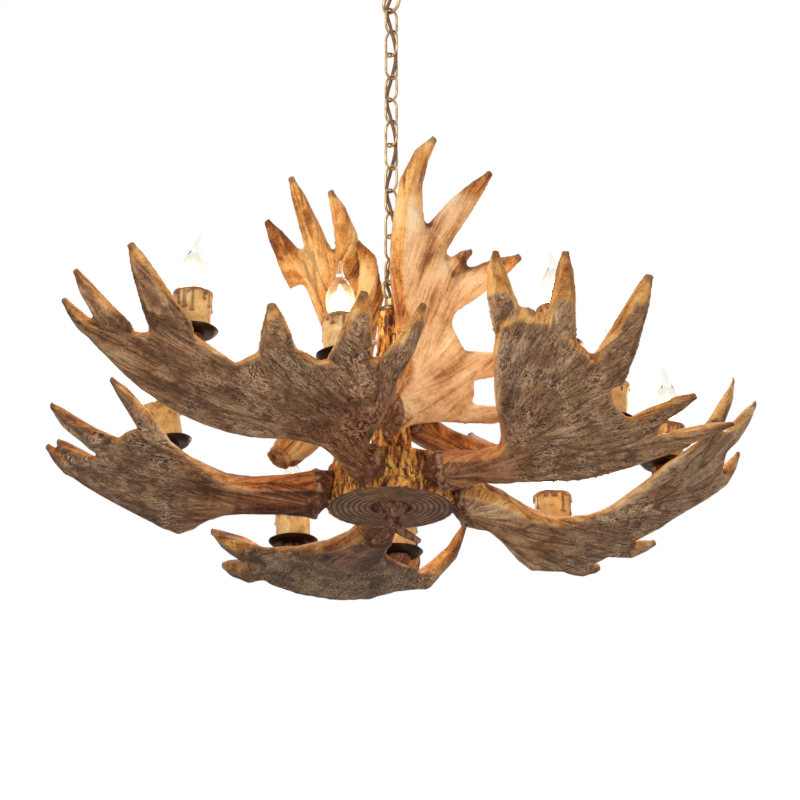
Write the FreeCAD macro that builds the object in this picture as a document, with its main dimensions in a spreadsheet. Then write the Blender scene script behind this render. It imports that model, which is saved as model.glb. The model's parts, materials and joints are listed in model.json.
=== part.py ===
"""Antler chandelier: eight cast antlers round a carved tree-trunk hub, nine candle lamps, hung on a chain.

Millimetres, +Z up. The origin is the middle of the ceiling strap's top face, so the whole lamp hangs
below z = 0. The hub's own datum is the underside of its ring disc, on the hanging axis.
"""
import FreeCAD, Part
import math
import os

import Sketcher
from FreeCAD import Placement, Rotation, Vector

# ---------------------------------------------------------------- driving dimensions

SIZES = [
    # ceiling fitting
    ("strap_length", 112.0), ("strap_width", 24.0), ("strap_thick", 3.0),
    ("strap_hole_spacing", 90.0), ("strap_hole_radius", 2.6),
    ("nipple_radius", 5.0), ("nipple_bore_radius", 3.4), ("thread_gap", 0.3),
    ("nut_across_corners", 18.0), ("nut_thick", 5.0),
    ("canopy_radius", 64.0), ("canopy_neck_radius", 20.0), ("canopy_depth", 30.0), ("canopy_wall", 1.5),
    ("canopy_rim", 5.0), ("collar_radius", 12.0), ("collar_depth", 8.0),
    # suspension loops, both screwed on threads
    ("loop_inner_radius", 11.0), ("loop_wire", 4.6), ("loop_boss_radius", 8.0), ("loop_boss_depth", 8.0),
    ("thread_depth", 6.5), ("hole_play", 0.15),
    # chain
    ("link_length", 37.3), ("link_width", 22.0), ("link_wire", 3.2), ("link_gap", 0.3), ("link_count", 12.0),
    ("flex_diameter", 4.5), ("flex_offset", 4.9), ("flex_bend_radius", 30.0),
    # hub
    ("disc_radius", 77.0), ("disc_thick", 14.0), ("disc_recess_radius", 24.0), ("disc_recess_depth", 5.0),
    ("drum_radius", 75.0), ("drum_height", 38.0), ("drum_wall", 13.0), ("drum_roof", 12.0),
    ("bark_depth", 3.0), ("column_foot_radius", 27.0), ("column_neck_radius", 17.0), ("column_height", 198.0),
    ("cap_radius", 15.0), ("cap_thick", 6.0), ("rod_radius", 5.0), ("rod_bore_radius", 3.4),
    ("finial_length", 46.0),
    ("terminal_length", 34.0), ("terminal_width", 16.0), ("terminal_depth", 14.0),
    # antlers
    ("antler_size", 1.0), ("burr_radius", 29.0), ("burr_thick", 7.0), ("tine_tip_radius", 3.6),
    ("tine_depth", 9.0),
    ("screw_radius", 3.5), ("screw_head", 13.0), ("screw_head_thick", 5.0), ("screw_grip", 22.0),
    ("spot_face_radius", 8.0), ("spot_face_depth", 1.0), ("screw_height", 24.0), ("screw_inset", 0.5),
    ("stub_half", 19.0), ("stub_inset", 9.0),
    # candle lamps
    ("post_radius", 15.5), ("post_foot_radius", 8.0), ("post_sink", 6.0), ("post_floor", 11.0),
    ("stem_length", 9.0),
    ("pan_radius", 31.0), ("pan_rim", 6.0), ("pan_thick", 2.4),
    ("sleeve_radius", 22.0), ("sleeve_height", 52.0), ("sleeve_bore_radius", 15.5), ("wax_overhang", 1.8),
    ("holder_radius", 13.0), ("holder_height", 40.0), ("holder_bore_radius", 7.08),
    ("holder_stem_radius", 4.8),
    ("lamp_cap_radius", 7.0), ("lamp_cap_length", 25.0), ("lamp_radius", 17.5), ("lamp_show", 75.0),
    ("lamp_tail_bend", 8.0), ("seat_gap", 0.3),
]

# Antlers are flat shapes laid on a curved sheet. Along the sheet, u runs with the beam and v towards the
# tines. The sheet bows up along u and cups up along v, with these radii (0 is straight).
# palm: cross-sections (u, v at one edge, u, v at the other edge, thickness), from the burr outwards.
# tines: (root u, v, root width, u, v that the tine leans to, tip u, v, rise of the tip off the sheet).
# stout: how thick the tines are against their usual depth.
# root: "drum" is screwed to the drum's wall, "column" is coped over the trunk above it.
ANTLERS = {
    "antler_front_left": dict(
        seat=(-28, -84, 25), heading=205, pitch=12, roll=38, hand=1,
        bow=700, cup=330, cup_line=60, root="drum",
        palm=[(-4, -24, -2, 22, 42), (18, -20, 14, 24, 36), (41, -7, 14, 62, 28), (60, -2, 14, 108, 22),
              (80, -6, 30, 138, 18), (97, -12, 48, 134, 16), (115, -22, 78, 124, 16),
              (137, -34, 111, 102, 16), (162, -43, 150, 104, 16), (190, -49, 178, 80, 16),
              (219, -51, 196, 53, 15), (250, -50, 228, 56, 15), (275, -46, 262, 60, 14),
              (302, -38, 298, 32, 14), (335, -29, 330, 12, 13), (356, -22, 354, 0, 11)],
        tines=[(32, 125, 36, 22, 172, 23, 215, 10), (80, 112, 52, 86, 158, 96, 201, 10),
               (158, 85, 50, 174, 112, 192, 138, 5), (272, 42, 58, 322, 78, 377, 113, 10),
               (325, 10, 38, 378, 24, 421, 44, 8), (345, -12, 24, 385, -10, 414, 3, 5)]),
    "antler_front_right": dict(
        seat=(58, -60, 25), heading=358, pitch=8, roll=52, hand=-1,
        bow=1500, cup=330, cup_line=60, root="drum",
        palm=[(-3, -26, 1, 26, 44), (44, -20, 46, 17, 34), (78, -29, 76, 21, 30), (100, -34, 75, 73, 24),
              (118, -39, 78, 128, 20), (135, -42, 90, 178, 17), (157, -45, 131, 182, 16),
              (182, -46, 163, 148, 16), (203, -44, 188, 123, 16), (223, -41, 208, 92, 15),
              (242, -37, 214, 53, 15), (260, -34, 227, 29, 15), (278, -30, 252, 5, 14),
              (301, -25, 275, -3, 12)],
        tines=[(103, 163, 43, 92, 223, 103, 259, 8), (160, 133, 42, 175, 203, 185, 244, 8),
               (205, 80, 56, 250, 141, 283, 198, 8), (227, 8, 37, 274, 30, 321, 37, 6),
               (276, -14, 25, 316, -8, 352, 10, -34)]),
    "antler_rear_right": dict(
        seat=(32, 35, 116), heading=43, pitch=-14, roll=25, hand=1,
        bow=300, cup=350, cup_line=40, root="column",
        palm=[(-14, -22, -18, 20, 40), (39, -17, 31, 24, 34), (89, -20, 72, 30, 30),
              (125, -26, 105, 44, 24), (160, -34, 140, 60, 20), (190, -38, 170, 64, 17),
              (215, -38, 198, 52, 16), (235, -34, 220, 32, 14)],
        tines=[(150, 42, 38, 146, 78, 152, 108, 10), (182, 42, 40, 195, 82, 214, 108, 10),
               (208, 14, 36, 240, 34, 262, 42, 8), (215, -20, 30, 245, -26, 270, -20, 6)]),
    "antler_lower_left": dict(
        seat=(-90, -18, 12), heading=193, pitch=-4, roll=22, hand=1,
        bow=380, cup=900, cup_line=0, root="drum",
        palm=[(0, -30, 0, 28, 46), (35, -32, 35, 22, 36), (70, -38, 75, 12, 32), (100, -52, 110, 12, 28),
              (118, -74, 135, 20, 24), (130, -100, 160, 30, 20), (146, -120, 185, 42, 18),
              (170, -117, 205, 50, 17), (197, -112, 222, 42, 16), (225, -110, 237, 26, 15),
              (253, -108, 249, 2, 15), (275, -106, 262, -30, 14), (295, -104, 275, -55, 13)],
        tines=[(195, 32, 34, 236, 78, 276, 86, 6), (235, -16, 50, 300, -20, 358, -26, 10),
               (262, -62, 38, 305, -66, 333, -73, 8), (275, -84, 40, 320, -96, 347, -95, 8)]),
    "antler_lower_right": dict(
        seat=(88, 0, 8), heading=356, pitch=-14, roll=22, hand=-1,
        bow=330, cup=900, cup_line=0, root="drum",
        palm=[(5, -32, -3, 34, 46), (31, -34, 41, 22, 38), (49, -59, 75, -2, 34),
              (64, -92, 105, -17, 28), (80, -118, 132, -16, 24), (108, -124, 154, -16, 20),
              (136, -132, 176, -7, 18), (162, -115, 200, 10, 17), (185, -103, 225, 25, 16),
              (214, -87, 246, 41, 16), (241, -80, 270, 49, 15), (271, -71, 298, 56, 15),
              (303, -67, 330, 48, 14), (334, -69, 340, 36, 13)],
        tines=[(298, 54, 34, 334, 82, 366, 90, 26), (325, 15, 44, 367, 34, 408, 27, 8),
               (316, -44, 38, 358, -54, 380, -35, 8), (184, -94, 33, 223, -114, 245, -112, 4),
               (131, -117, 32, 159, -135, 171, -131, 4)]),
    "antler_lower_rear": dict(
        seat=(-15, 105, 8), heading=100, pitch=0, roll=0, hand=-1,
        bow=0, cup=260, cup_line=0, stout=1.7, root="drum",
        palm=[(-4, -22, -4, 22, 42), (40, -36, 40, 20, 30), (84, -59, 90, 24, 23),
              (128, -91, 130, 50, 18.5), (160, -118, 165, 80, 15), (190, -138, 200, 88, 13.5),
              (235, -132, 240, 72, 13), (268, -108, 262, 44, 12)],
        tines=[(190, -110, 56, 225, -160, 258, -198, 10), (235, -105, 50, 290, -140, 331, -163, 10),
               (222, 60, 56, 275, 135, 215, 190, 40), (205, 60, 34, 200, 95, 188, 98, 50)]),
    "antler_upper_front": dict(
        seat=(0, -40, 90), heading=115, pitch=78, roll=0, hand=-1,
        bow=600, cup=350, cup_line=60, root="column",
        palm=[(-12, 2, 34, 2, 42), (8, 30, 64, 12, 32), (18, 62, 112, 17, 26), (22, 98, 150, 11, 20),
              (60, 118, 180, 5, 18), (105, 114, 204, 1, 16), (130, 100, 218, 1, 16),
              (150, 90, 230, 0, 16), (178, 96, 240, 0, 16), (205, 90, 252, 0, 16), (229, 78, 268, 1, 16),
              (250, 70, 284, 2, 15), (262, 52, 300, 4, 15)],
        tines=[(268, 24, 44, 340, 8, 380, 42, 12), (232, 48, 48, 300, 86, 350, 124, 10),
               (182, 72, 54, 220, 130, 244, 176, 6), (212, 84, 28, 240, 92, 253, 119, -20),
               (98, 100, 46, 104, 150, 112, 200, 10), (36, 96, 32, 34, 150, 36, 200, 10)]),
    "antler_upper_rear": dict(
        seat=(-60, 24, 145.5), heading=100, pitch=84, roll=0, hand=1,
        bow=600, cup=350, cup_line=0, root="column",
        palm=[(-75, 96, -103, 62, 38), (-49, 61, -71, 33, 30), (-8, 26, -23, -6, 30),
              (31, 12, 33, -34, 26), (72, 15, 71, -41, 22), (104, 29, 92, -43, 18),
              (128, 39, 119, -45, 16), (153, 52, 143, -38, 15), (177, 46, 168, -32, 15),
              (191, 36, 182, -24, 14)],
        tines=[(150, 48, 47, 189, 76, 218, 106, 8), (167, 22, 38, 225, 44, 280, 77, 8),
               (172, -10, 36, 229, -2, 269, 25, 8), (79, -17, 46, 174, -58, 199, -5, 50)]),
}

# Candles: (antler, u, v on its sheet, height of the pan above the sheet, lean towards +X and +Y in degrees).
CANDLES = [
    ("antler_front_left", 234, 5, 55, 1, 0), ("antler_front_left", 63, 65, 56, -2, 1),
    ("antler_front_right", 150, 46, 85, -2, 0), ("antler_front_right", 202, -26, 49, 1, 1),
    ("antler_lower_right", 247, -25, 44, 3, 0), ("antler_lower_right", 111, -95, 29, -1, 1),
    ("antler_lower_left", 170, -21, 44, -10, 0), ("antler_lower_rear", 184, -78, 30, -1, 0),
    ("antler_lower_rear", 160, 52, 22.5, 1, 0),
]

# ---------------------------------------------------------------- document and sheet

doc = FreeCAD.newDocument("AntlerChandelier")
sheet = doc.addObject("Spreadsheet::Sheet", "Sizes")
for row, (alias, number) in enumerate(SIZES, start=1):
    sheet.set("A%d" % row, alias)
    sheet.set("B%d" % row, str(number))
    sheet.setAlias("B%d" % row, alias)
doc.recompute()

NODES = []


def size(alias):
    """The number that the sheet holds under this name."""
    return float(sheet.get(alias))


def node(label, feature):
    """Name a finished sub-part."""
    feature.Label = label
    NODES.append(feature)
    return feature


def shape_node(label, shape, placement=None):
    """A sub-part whose shape is made by formula."""
    feature = doc.addObject("Part::Feature", label)
    feature.Shape = shape
    if placement is not None:
        feature.Placement = placement
    return node(label, feature)


def bind(feature, **expressions):
    """Tie properties of a feature to the sheet. A dot in a property's path is written as two underscores."""
    for prop, expression in expressions.items():
        feature.setExpression(prop.replace("__", "."), expression)


# ---------------------------------------------------------------- levels, worked out from the sizes

LINK_PITCH = size("link_length") - 2 * size("link_wire") - size("link_gap")
LINKS = int(size("link_count"))
LOOP_OUTER = size("loop_inner_radius") + size("loop_wire")
COLLAR_Z = -size("canopy_depth") - size("collar_depth")
CEILING_LOOP_Z = COLLAR_Z - size("loop_boss_depth") - LOOP_OUTER + 1.0
TOP_LINK_Z = CEILING_LOOP_Z - size("loop_inner_radius") + size("link_gap") + size("link_wire")
LAST_LINK_FOOT = TOP_LINK_Z - (LINKS - 1) * LINK_PITCH - size("link_length")
HUB_LOOP_Z = LAST_LINK_FOOT + size("link_wire") + size("link_gap") - size("loop_inner_radius")
DRUM_TOP = size("disc_thick") + size("drum_height")
COLUMN_TOP = DRUM_TOP + size("column_height")
CAP_TOP = COLUMN_TOP + size("cap_thick")
LOOP_ABOVE_CAP = size("loop_boss_depth") + LOOP_OUTER - 1.0
HUB_Z = HUB_LOOP_Z - LOOP_ABOVE_CAP - CAP_TOP
HUB = Vector(0, 0, HUB_Z)
UP = Vector(0, 0, 1)


# ---------------------------------------------------------------- faceted forms

def facet_solid(rings, closed=False):
    """A solid through rings of points, each ring joined to the next by flat triangles."""
    count = len(rings[0])
    triangles = []
    pairs = list(zip(rings, rings[1:]))
    if closed:
        pairs.append((rings[-1], rings[0]))
    for near, far in pairs:
        for i in range(count):
            j = (i + 1) % count
            triangles.append((near[i], near[j], far[j]))
            triangles.append((near[i], far[j], far[i]))
    if not closed:
        for ring in (rings[0][::-1], rings[-1]):
            middle = sum(ring, Vector()) * (1.0 / count)
            for i in range(count):
                triangles.append((middle, ring[i], ring[(i + 1) % count]))
    triangles = [(a, b, c) for a, b, c in triangles if a != b and b != c and a != c]
    faces = [Part.Face(Part.makePolygon([a, b, c, a])) for a, b, c in triangles]
    shell = Part.makeShell(faces)
    shell.sewShape()
    solid = Part.Solid(shell)
    if solid.Volume < 0:
        solid.reverse()
    return solid


def turned(outline, sides):
    """A closed outline of (radius, height) points carried round Z with flat sides."""
    rings = []
    for k in range(sides):
        angle = 2 * math.pi * k / sides
        rings.append([Vector(r * math.cos(angle), r * math.sin(angle), z) for r, z in outline])
    return facet_solid(rings, closed=True)


def spun(stations, sides):
    """A solid stack of round sections (radius, height, sideways shift), with flat sides."""
    rings = []
    for radius, height, shift in stations:
        turn = [2 * math.pi * k / sides for k in range(sides)]
        rings.append([Vector(radius * math.cos(a) + shift, radius * math.sin(a), height) for a in turn])
    return facet_solid(rings)


def wire_loop(corners, wire_radius, normal, sides):
    """Bar bent through flat corner points, mitred at each corner, closed on itself."""
    rings = []
    count = len(corners)
    for i, corner in enumerate(corners):
        before = (corner - corners[i - 1]).normalize()
        after = (corners[(i + 1) % count] - corner).normalize()
        along = (before + after).normalize()
        across = normal.cross(along).normalize()
        stretch = 1.0 / max(0.2, along.dot(after))
        ring = []
        for k in range(sides):
            angle = 2 * math.pi * k / sides
            ring.append(corner + normal * (wire_radius * math.sin(angle))
                        + across * (wire_radius * stretch * math.cos(angle)))
        rings.append(ring)
    return facet_solid(rings, closed=True)


def ring_corners(radius, count):
    """Corners of a regular ring whose flats touch the given radius, in the XZ plane, a flat at the bottom."""
    corner_radius = radius / math.cos(math.pi / count)
    angles = [math.pi * (2 * k + 1) / count for k in range(count)]
    return [Vector(corner_radius * math.sin(a), 0, -corner_radius * math.cos(a)) for a in angles]


def bar(start, end, radius, sides=12):
    """Straight bar with flat sides whose flats clear the given radius."""
    along = (end - start).normalize()
    turn = Rotation(UP, along)
    solid = spun([(radius / math.cos(math.pi / sides), 0, 0),
                  (radius / math.cos(math.pi / sides), (end - start).Length, 0)], sides)
    solid.Placement = Placement(start, turn)
    return solid


def largest(shape):
    """The biggest of the solids that a cut leaves."""
    return max(shape.Solids, key=lambda solid: solid.Volume)


# ---------------------------------------------------------------- sketches

def origin_plane(body, role):
    """The body's own origin plane with this role."""
    return [item for item in body.Origin.OriginFeatures if item.Role == role][0]


def sketch_on(body, role, name):
    sketch = body.newObject("Sketcher::SketchObject", name)
    sketch.AttachmentSupport = [(origin_plane(body, role), "")]
    sketch.MapMode = "FlatFace"
    return sketch


def add_polygon(sketch, points):
    """Closed run of lines through sketch points."""
    first = sketch.GeometryCount
    count = len(points)
    corners = [Vector(x, y, 0) for x, y in points]
    for i in range(count):
        sketch.addGeometry(Part.LineSegment(corners[i], corners[(i + 1) % count]), False)
    for i in range(count):
        sketch.addConstraint(Sketcher.Constraint("Coincident", first + i, 2, first + (i + 1) % count, 1))


def flats(clear_radius, sides):
    """Corners of a regular outline whose flats lie on the given radius."""
    corner = clear_radius / math.cos(math.pi / sides)
    turns = [2 * math.pi * k / sides for k in range(sides)]
    return [(corner * math.cos(a), corner * math.sin(a)) for a in turns]


def add_circle(sketch, x, y, expression, radius):
    """Circle held to its place, with its radius from the sheet."""
    index = sketch.addGeometry(Part.Circle(Vector(x, y, 0), UP, radius), False)
    sketch.addConstraint(Sketcher.Constraint("Radius", index, radius))
    sketch.setExpression("Constraints[%d]" % (sketch.ConstraintCount - 1), expression)
    return index


def pad(body, sketch, expression, name, down=False):
    feature = body.newObject("PartDesign::Pad", name)
    feature.Profile = sketch
    feature.Reversed = down
    feature.setExpression("Length", expression)
    sketch.Visibility = False
    doc.recompute()
    return feature


def pocket(body, sketch, expression, name, flip=False):
    """Cut a sketch into its body, and check that it really takes material away."""
    before = body.Shape.Volume
    feature = body.newObject("PartDesign::Pocket", name)
    feature.Profile = sketch
    feature.Reversed = flip
    feature.setExpression("Length", expression)
    doc.recompute()
    if not body.Shape.Volume < before - 0.01:
        raise RuntimeError("%s cuts nothing" % name)
    return feature


def bark_outline(radius, ridges, depth, turn=0.0):
    """Round outline whose points step in and out like split bark."""
    points = []
    for k in range(2 * ridges):
        angle = math.pi * k / ridges + turn
        reach = radius - (depth if k % 2 else 0.35 * depth * math.sin(2.7 * k) ** 2)
        points.append((reach * math.cos(angle), reach * math.sin(angle)))
    return points


# ---------------------------------------------------------------- ceiling fitting

def make_strap():
    body = doc.addObject("PartDesign::Body", "StrapBody")
    outline = sketch_on(body, "XY_Plane", "StrapOutline")
    half_length, half_width = size("strap_length") / 2, size("strap_width") / 2
    add_polygon(outline, [(-half_length, -half_width), (half_length, -half_width),
                          (half_length, half_width), (-half_length, half_width)])
    pad(body, outline, "Sizes.strap_thick", "StrapPad", down=True)
    holes = sketch_on(body, "XY_Plane", "StrapHoles")
    reach = size("strap_hole_spacing") / 2
    add_circle(holes, -reach, 0, "Sizes.strap_hole_radius", size("strap_hole_radius"))
    add_circle(holes, reach, 0, "Sizes.strap_hole_radius", size("strap_hole_radius"))
    add_polygon(holes, flats(size("nipple_radius") + size("thread_gap"), 12))
    pocket(body, holes, "Sizes.strap_thick + 1", "StrapDrill")
    return node("ceiling_strap", body)


def tube(outer, inner, length, foot, sides=12):
    """Upright tube with flat sides whose bore clears the inner radius."""
    bore = inner / math.cos(math.pi / sides)
    return turned([(bore, foot), (outer, foot), (outer, foot + length), (bore, foot + length)], sides)


def nut_feature(label, foot):
    """Hexagon nut, bored to clear its thread."""
    body = doc.addObject("Part::Prism", label + "_hexagon")
    body.Polygon = 6
    bore = doc.addObject("Part::Prism", label + "_bore")
    bore.Polygon = 12
    bind(body, Circumradius="Sizes.nut_across_corners / 2", Height="Sizes.nut_thick")
    bind(bore, Circumradius="(Sizes.nipple_radius + Sizes.thread_gap) / cos(15 deg)",
         Height="Sizes.nut_thick")
    cut = doc.addObject("Part::Cut", label)
    cut.Base = body
    cut.Tool = bore
    doc.recompute()
    cut.Placement = Placement(Vector(0, 0, foot), Rotation())
    return cut


def make_ceiling_fitting():
    make_strap()
    # the nipple hangs in the strap on its nut and reaches through the canopy and collar into the loop
    foot = COLLAR_Z - size("thread_depth") + size("screw_inset")
    shape_node("threaded_nipple", tube(size("nipple_radius"), size("nipple_bore_radius"), -1.0 - foot, foot))
    node("strap_nut", nut_feature("strap_nut", -size("strap_thick") - size("nut_thick")))
    make_canopy()
    hole = size("nipple_radius") + size("thread_gap") + size("hole_play")
    outer, top = size("collar_radius"), -size("canopy_depth")
    collar_outline = [(hole, COLLAR_Z), (outer - 1, COLLAR_Z), (outer, COLLAR_Z + 1.5), (outer, top - 1),
                      (outer - 1, top), (hole, top)]
    shape_node("canopy_collar", turned(collar_outline, 16))
    shape_node("ceiling_loop", threaded_loop(COLLAR_Z, CEILING_LOOP_Z, -45))


def make_canopy():
    """Spun dome over the strap: rim on the ceiling, sloping side, flat neck with the nipple's hole."""
    rim, neck, depth = size("canopy_radius"), size("canopy_neck_radius"), size("canopy_depth")
    wall, lip = size("canopy_wall"), size("canopy_rim")
    hole = size("nipple_radius") + size("thread_gap")
    waist, waist_z = (rim + neck) / 2, -0.66 * depth
    outline = [(rim, 0), (rim, -lip), (waist, waist_z), (neck, -depth), (hole, -depth),
               (hole, wall - depth), (neck - wall * 0.4, wall - depth), (waist - wall, waist_z + wall),
               (rim - wall, wall * 0.4 - lip), (rim - wall, 0)]
    shape_node("canopy", turned(outline, 24))


def threaded_loop(boss_face, ring_z, azimuth):
    """Ring with a threaded boss, hanging below (or standing on) the face that its boss meets.

    The flex passes up the middle of the boss into the hollow nipple or rod."""
    wire = size("loop_wire") / 2
    ring = wire_loop(ring_corners(size("loop_inner_radius") + wire, 12), wire, Vector(0, 1, 0), 6)
    ring.translate(Vector(0, 0, ring_z))
    side = 1 if boss_face > ring_z else -1
    inner_face = ring_z + side * (size("loop_inner_radius") - 0.5)
    heights = sorted([boss_face, inner_face])
    boss = spun([(size("loop_boss_radius"), height, 0) for height in heights], 10)
    thread_end = Vector(0, 0, boss_face - side * size("thread_depth"))
    thread = bar(Vector(0, 0, boss_face + side), thread_end, size("nipple_radius") + size("thread_gap"))
    wire_way = bar(Vector(0, 0, boss_face), Vector(0, 0, inner_face - side),
                   size("flex_diameter") / 2 + size("seat_gap"), 8)
    loop = ring.fuse(boss).cut(thread).cut(wire_way)
    loop.rotate(Vector(), UP, azimuth)
    return loop


# ---------------------------------------------------------------- chain and flex

def link_azimuth(index):
    """Links stand at plus and minus 45 degrees in turn."""
    return 45 if index % 2 == 0 else -45


def link_shape(index):
    """One link: a bar bent round two half-turns with straight legs, hanging in the link above."""
    wire = size("link_wire") / 2
    bend = size("link_width") / 2 - wire
    leg = size("link_length") / 2 - wire - bend
    corner = bend / math.cos(math.pi / 8)
    corners = []
    for end in (1, -1):
        for angle in (-67.5, -22.5, 22.5, 67.5):
            a = math.radians(angle)
            corners.append(Vector(end * corner * math.sin(a), 0, end * (leg + corner * math.cos(a))))
    link = wire_loop(corners, wire, Vector(0, 1, 0), 6)
    link.rotate(Vector(), UP, link_azimuth(index))
    link.translate(Vector(0, 0, TOP_LINK_Z - index * LINK_PITCH - size("link_length") / 2))
    return link


def make_chain():
    shape_node("chain_top_link", link_shape(0))
    shape_node("chain_links", Part.makeCompound([link_shape(k) for k in range(1, LINKS - 1)]))
    shape_node("chain_bottom_link", link_shape(LINKS - 1))


def flex_route():
    """The lamp's flex comes down the hollow nipple, winds a quarter turn round the axis at each link, in
    through one and out of the next, and goes down the hub's hollow rod."""
    reach = size("flex_offset") * math.sqrt(2)
    first = TOP_LINK_Z - size("link_wire")
    points = [Vector(0, 0, -size("strap_thick")), Vector(0, 0, CEILING_LOOP_Z + 4)]
    for k in range(LINKS + 1):
        angle = math.pi * (1 + 0.5 * k)
        points.append(Vector(reach * math.cos(angle), reach * math.sin(angle), first - k * LINK_PITCH))
    points.append(Vector(0, 0, HUB_LOOP_Z - 4))
    points.append(Vector(0, 0, HUB_Z + COLUMN_TOP - 20))
    return points


def round_path(points, radius):
    """Straight runs with a tangent arc of the given radius, or less on a short run, at each corner."""
    edges = []
    start = points[0]
    for before, corner, after in zip(points, points[1:], points[2:]):
        a = (before - corner)
        b = (after - corner)
        half_turn = (math.pi - a.getAngle(b)) / 2
        bend = min(radius, 0.45 * min(a.Length, b.Length) / math.tan(half_turn))
        setback = bend * math.tan(half_turn)
        a.normalize()
        b.normalize()
        middle_way = (a + b).normalize()
        arc_middle = corner + middle_way * (bend / math.cos(half_turn) - bend)
        edges.append(Part.LineSegment(start, corner + a * setback).toShape())
        edges.append(Part.Arc(corner + a * setback, arc_middle, corner + b * setback).toShape())
        start = corner + b * setback
    edges.append(Part.LineSegment(start, points[-1]).toShape())
    return Part.Wire(edges)


def make_flex():
    path = round_path(flex_route(), size("flex_bend_radius"))
    radius = size("flex_diameter") / 2
    turns = [2 * math.pi * k / 6 for k in range(6)]
    ring = [flex_route()[0] + Vector(radius * math.cos(a), radius * math.sin(a), 0) for a in turns]
    section = Part.makePolygon(ring + ring[:1])
    shape_node("flex", path.makePipeShell([section], True, False))


# ---------------------------------------------------------------- hub

def make_ring_disc():
    """End-grain disc under the drum, recessed for the finial, drilled for the rod."""
    body = doc.addObject("PartDesign::Body", "DiscBody")
    outline = sketch_on(body, "XY_Plane", "DiscOutline")
    ragged = []
    for k in range(36):
        reach = size("disc_radius") + 0.9 * math.sin(5.3 * k)
        ragged.append((reach * math.cos(math.pi * k / 18), reach * math.sin(math.pi * k / 18)))
    add_polygon(outline, ragged)
    pad(body, outline, "Sizes.disc_thick", "DiscPad")
    recess = sketch_on(body, "XY_Plane", "DiscRecess")
    add_polygon(recess, flats(size("disc_recess_radius"), 18))
    pocket(body, recess, "Sizes.disc_recess_depth", "DiscRecessCut", flip=True)
    hole = sketch_on(body, "XY_Plane", "DiscHole")
    add_polygon(hole, flats(size("rod_radius") + size("thread_gap"), 12))
    pocket(body, hole, "Sizes.disc_thick + 1", "DiscHoleCut", flip=True)
    body.Placement = Placement(HUB, Rotation())
    return node("ring_disc", body)


def make_hub_drum():
    """Hollow bark-covered drum: open below, where the disc closes it, with a roof that carries the column."""
    body = doc.addObject("PartDesign::Body", "DrumBody")
    bark = sketch_on(body, "XY_Plane", "DrumBark")
    add_polygon(bark, bark_outline(size("drum_radius"), 14, size("bark_depth")))
    pad(body, bark, "Sizes.drum_height", "DrumPad")
    hollow = sketch_on(body, "XY_Plane", "DrumHollow")
    add_polygon(hollow, flats((size("drum_radius") - size("drum_wall")) * math.cos(math.pi / 16), 16))
    pocket(body, hollow, "Sizes.drum_height - Sizes.drum_roof", "DrumHollowCut", flip=True)
    hole = sketch_on(body, "XY_Plane", "DrumHole")
    add_polygon(hole, flats(size("rod_radius") + size("thread_gap"), 12))
    pocket(body, hole, "Sizes.drum_height + 1", "DrumHoleCut", flip=True)
    doc.recompute()
    return body


def column_shape():
    """Tapering bark-covered trunk, bored for the rod."""
    rings = []
    steps = 4
    foot, neck = size("column_foot_radius"), size("column_neck_radius")
    for k in range(steps + 1):
        share = k / steps
        outline = bark_outline(foot + (neck - foot) * share ** 0.7, 6, size("bark_depth"), turn=0.35 * share)
        rings.append([Vector(x, y, DRUM_TOP + size("column_height") * share) for x, y in outline])
    clear_radius = size("rod_radius") + size("thread_gap")
    bore = bar(Vector(0, 0, DRUM_TOP - 1), Vector(0, 0, COLUMN_TOP + 1), clear_radius)
    return facet_solid(rings).cut(bore)


def make_hub_hardware():
    """Hollow rod through the whole hub, its nuts, the cap under the hanging loop, and the wiring block."""
    rod_length = CAP_TOP + size("thread_depth") - size("screw_inset") - size("disc_recess_depth") - 1
    rod_foot = HUB_Z + size("disc_recess_depth") + 1
    shape_node("centre_rod", tube(size("rod_radius"), size("rod_bore_radius"), rod_length, rod_foot))
    lower = nut_feature("rod_nut_drum", HUB_Z + DRUM_TOP - size("drum_roof") - size("nut_thick"))
    upper = nut_feature("rod_nut_disc", HUB_Z + size("disc_thick"))
    pair = doc.addObject("Part::Compound", "rod_nuts")
    pair.Links = [lower, upper]
    node("rod_nuts", pair)
    hole = size("rod_radius") + size("thread_gap") + size("hole_play")
    cap = turned([(hole, 0), (size("cap_radius"), 0), (size("cap_radius"), size("cap_thick") - 1.5),
                  (size("cap_radius") - 2, size("cap_thick")), (hole, size("cap_thick"))], 16)
    shape_node("column_cap", cap, Placement(HUB + Vector(0, 0, COLUMN_TOP), Rotation()))
    shape_node("hub_loop", threaded_loop(HUB_Z + CAP_TOP, HUB_LOOP_Z, 45))
    base, half, reach = size("disc_thick"), size("terminal_length") / 2, size("terminal_width")
    block = Part.makeBox(2 * half, reach, size("terminal_depth"), Vector(-half, 18, base))
    for x in (-11, 0, 11):
        block = block.cut(bar(Vector(x, 17, base + 7), Vector(x, 19 + reach, base + 7), 2.2, 8))
    shape_node("terminal_block", block, Placement(HUB, Rotation()))


def limb(points, radii, sides=6):
    """Round branch through points, one radius at each."""
    rings = []
    for i, point in enumerate(points):
        ahead = points[min(i + 1, len(points) - 1)] - points[max(i - 1, 0)]
        turn = Rotation(UP, ahead.normalize())
        angles = [2 * math.pi * k / sides for k in range(sides)]
        ring = [point + turn.multVec(Vector(math.cos(a), math.sin(a), 0) * radii[i]) for a in angles]
        rings.append(ring)
    return facet_solid(rings)


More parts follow.
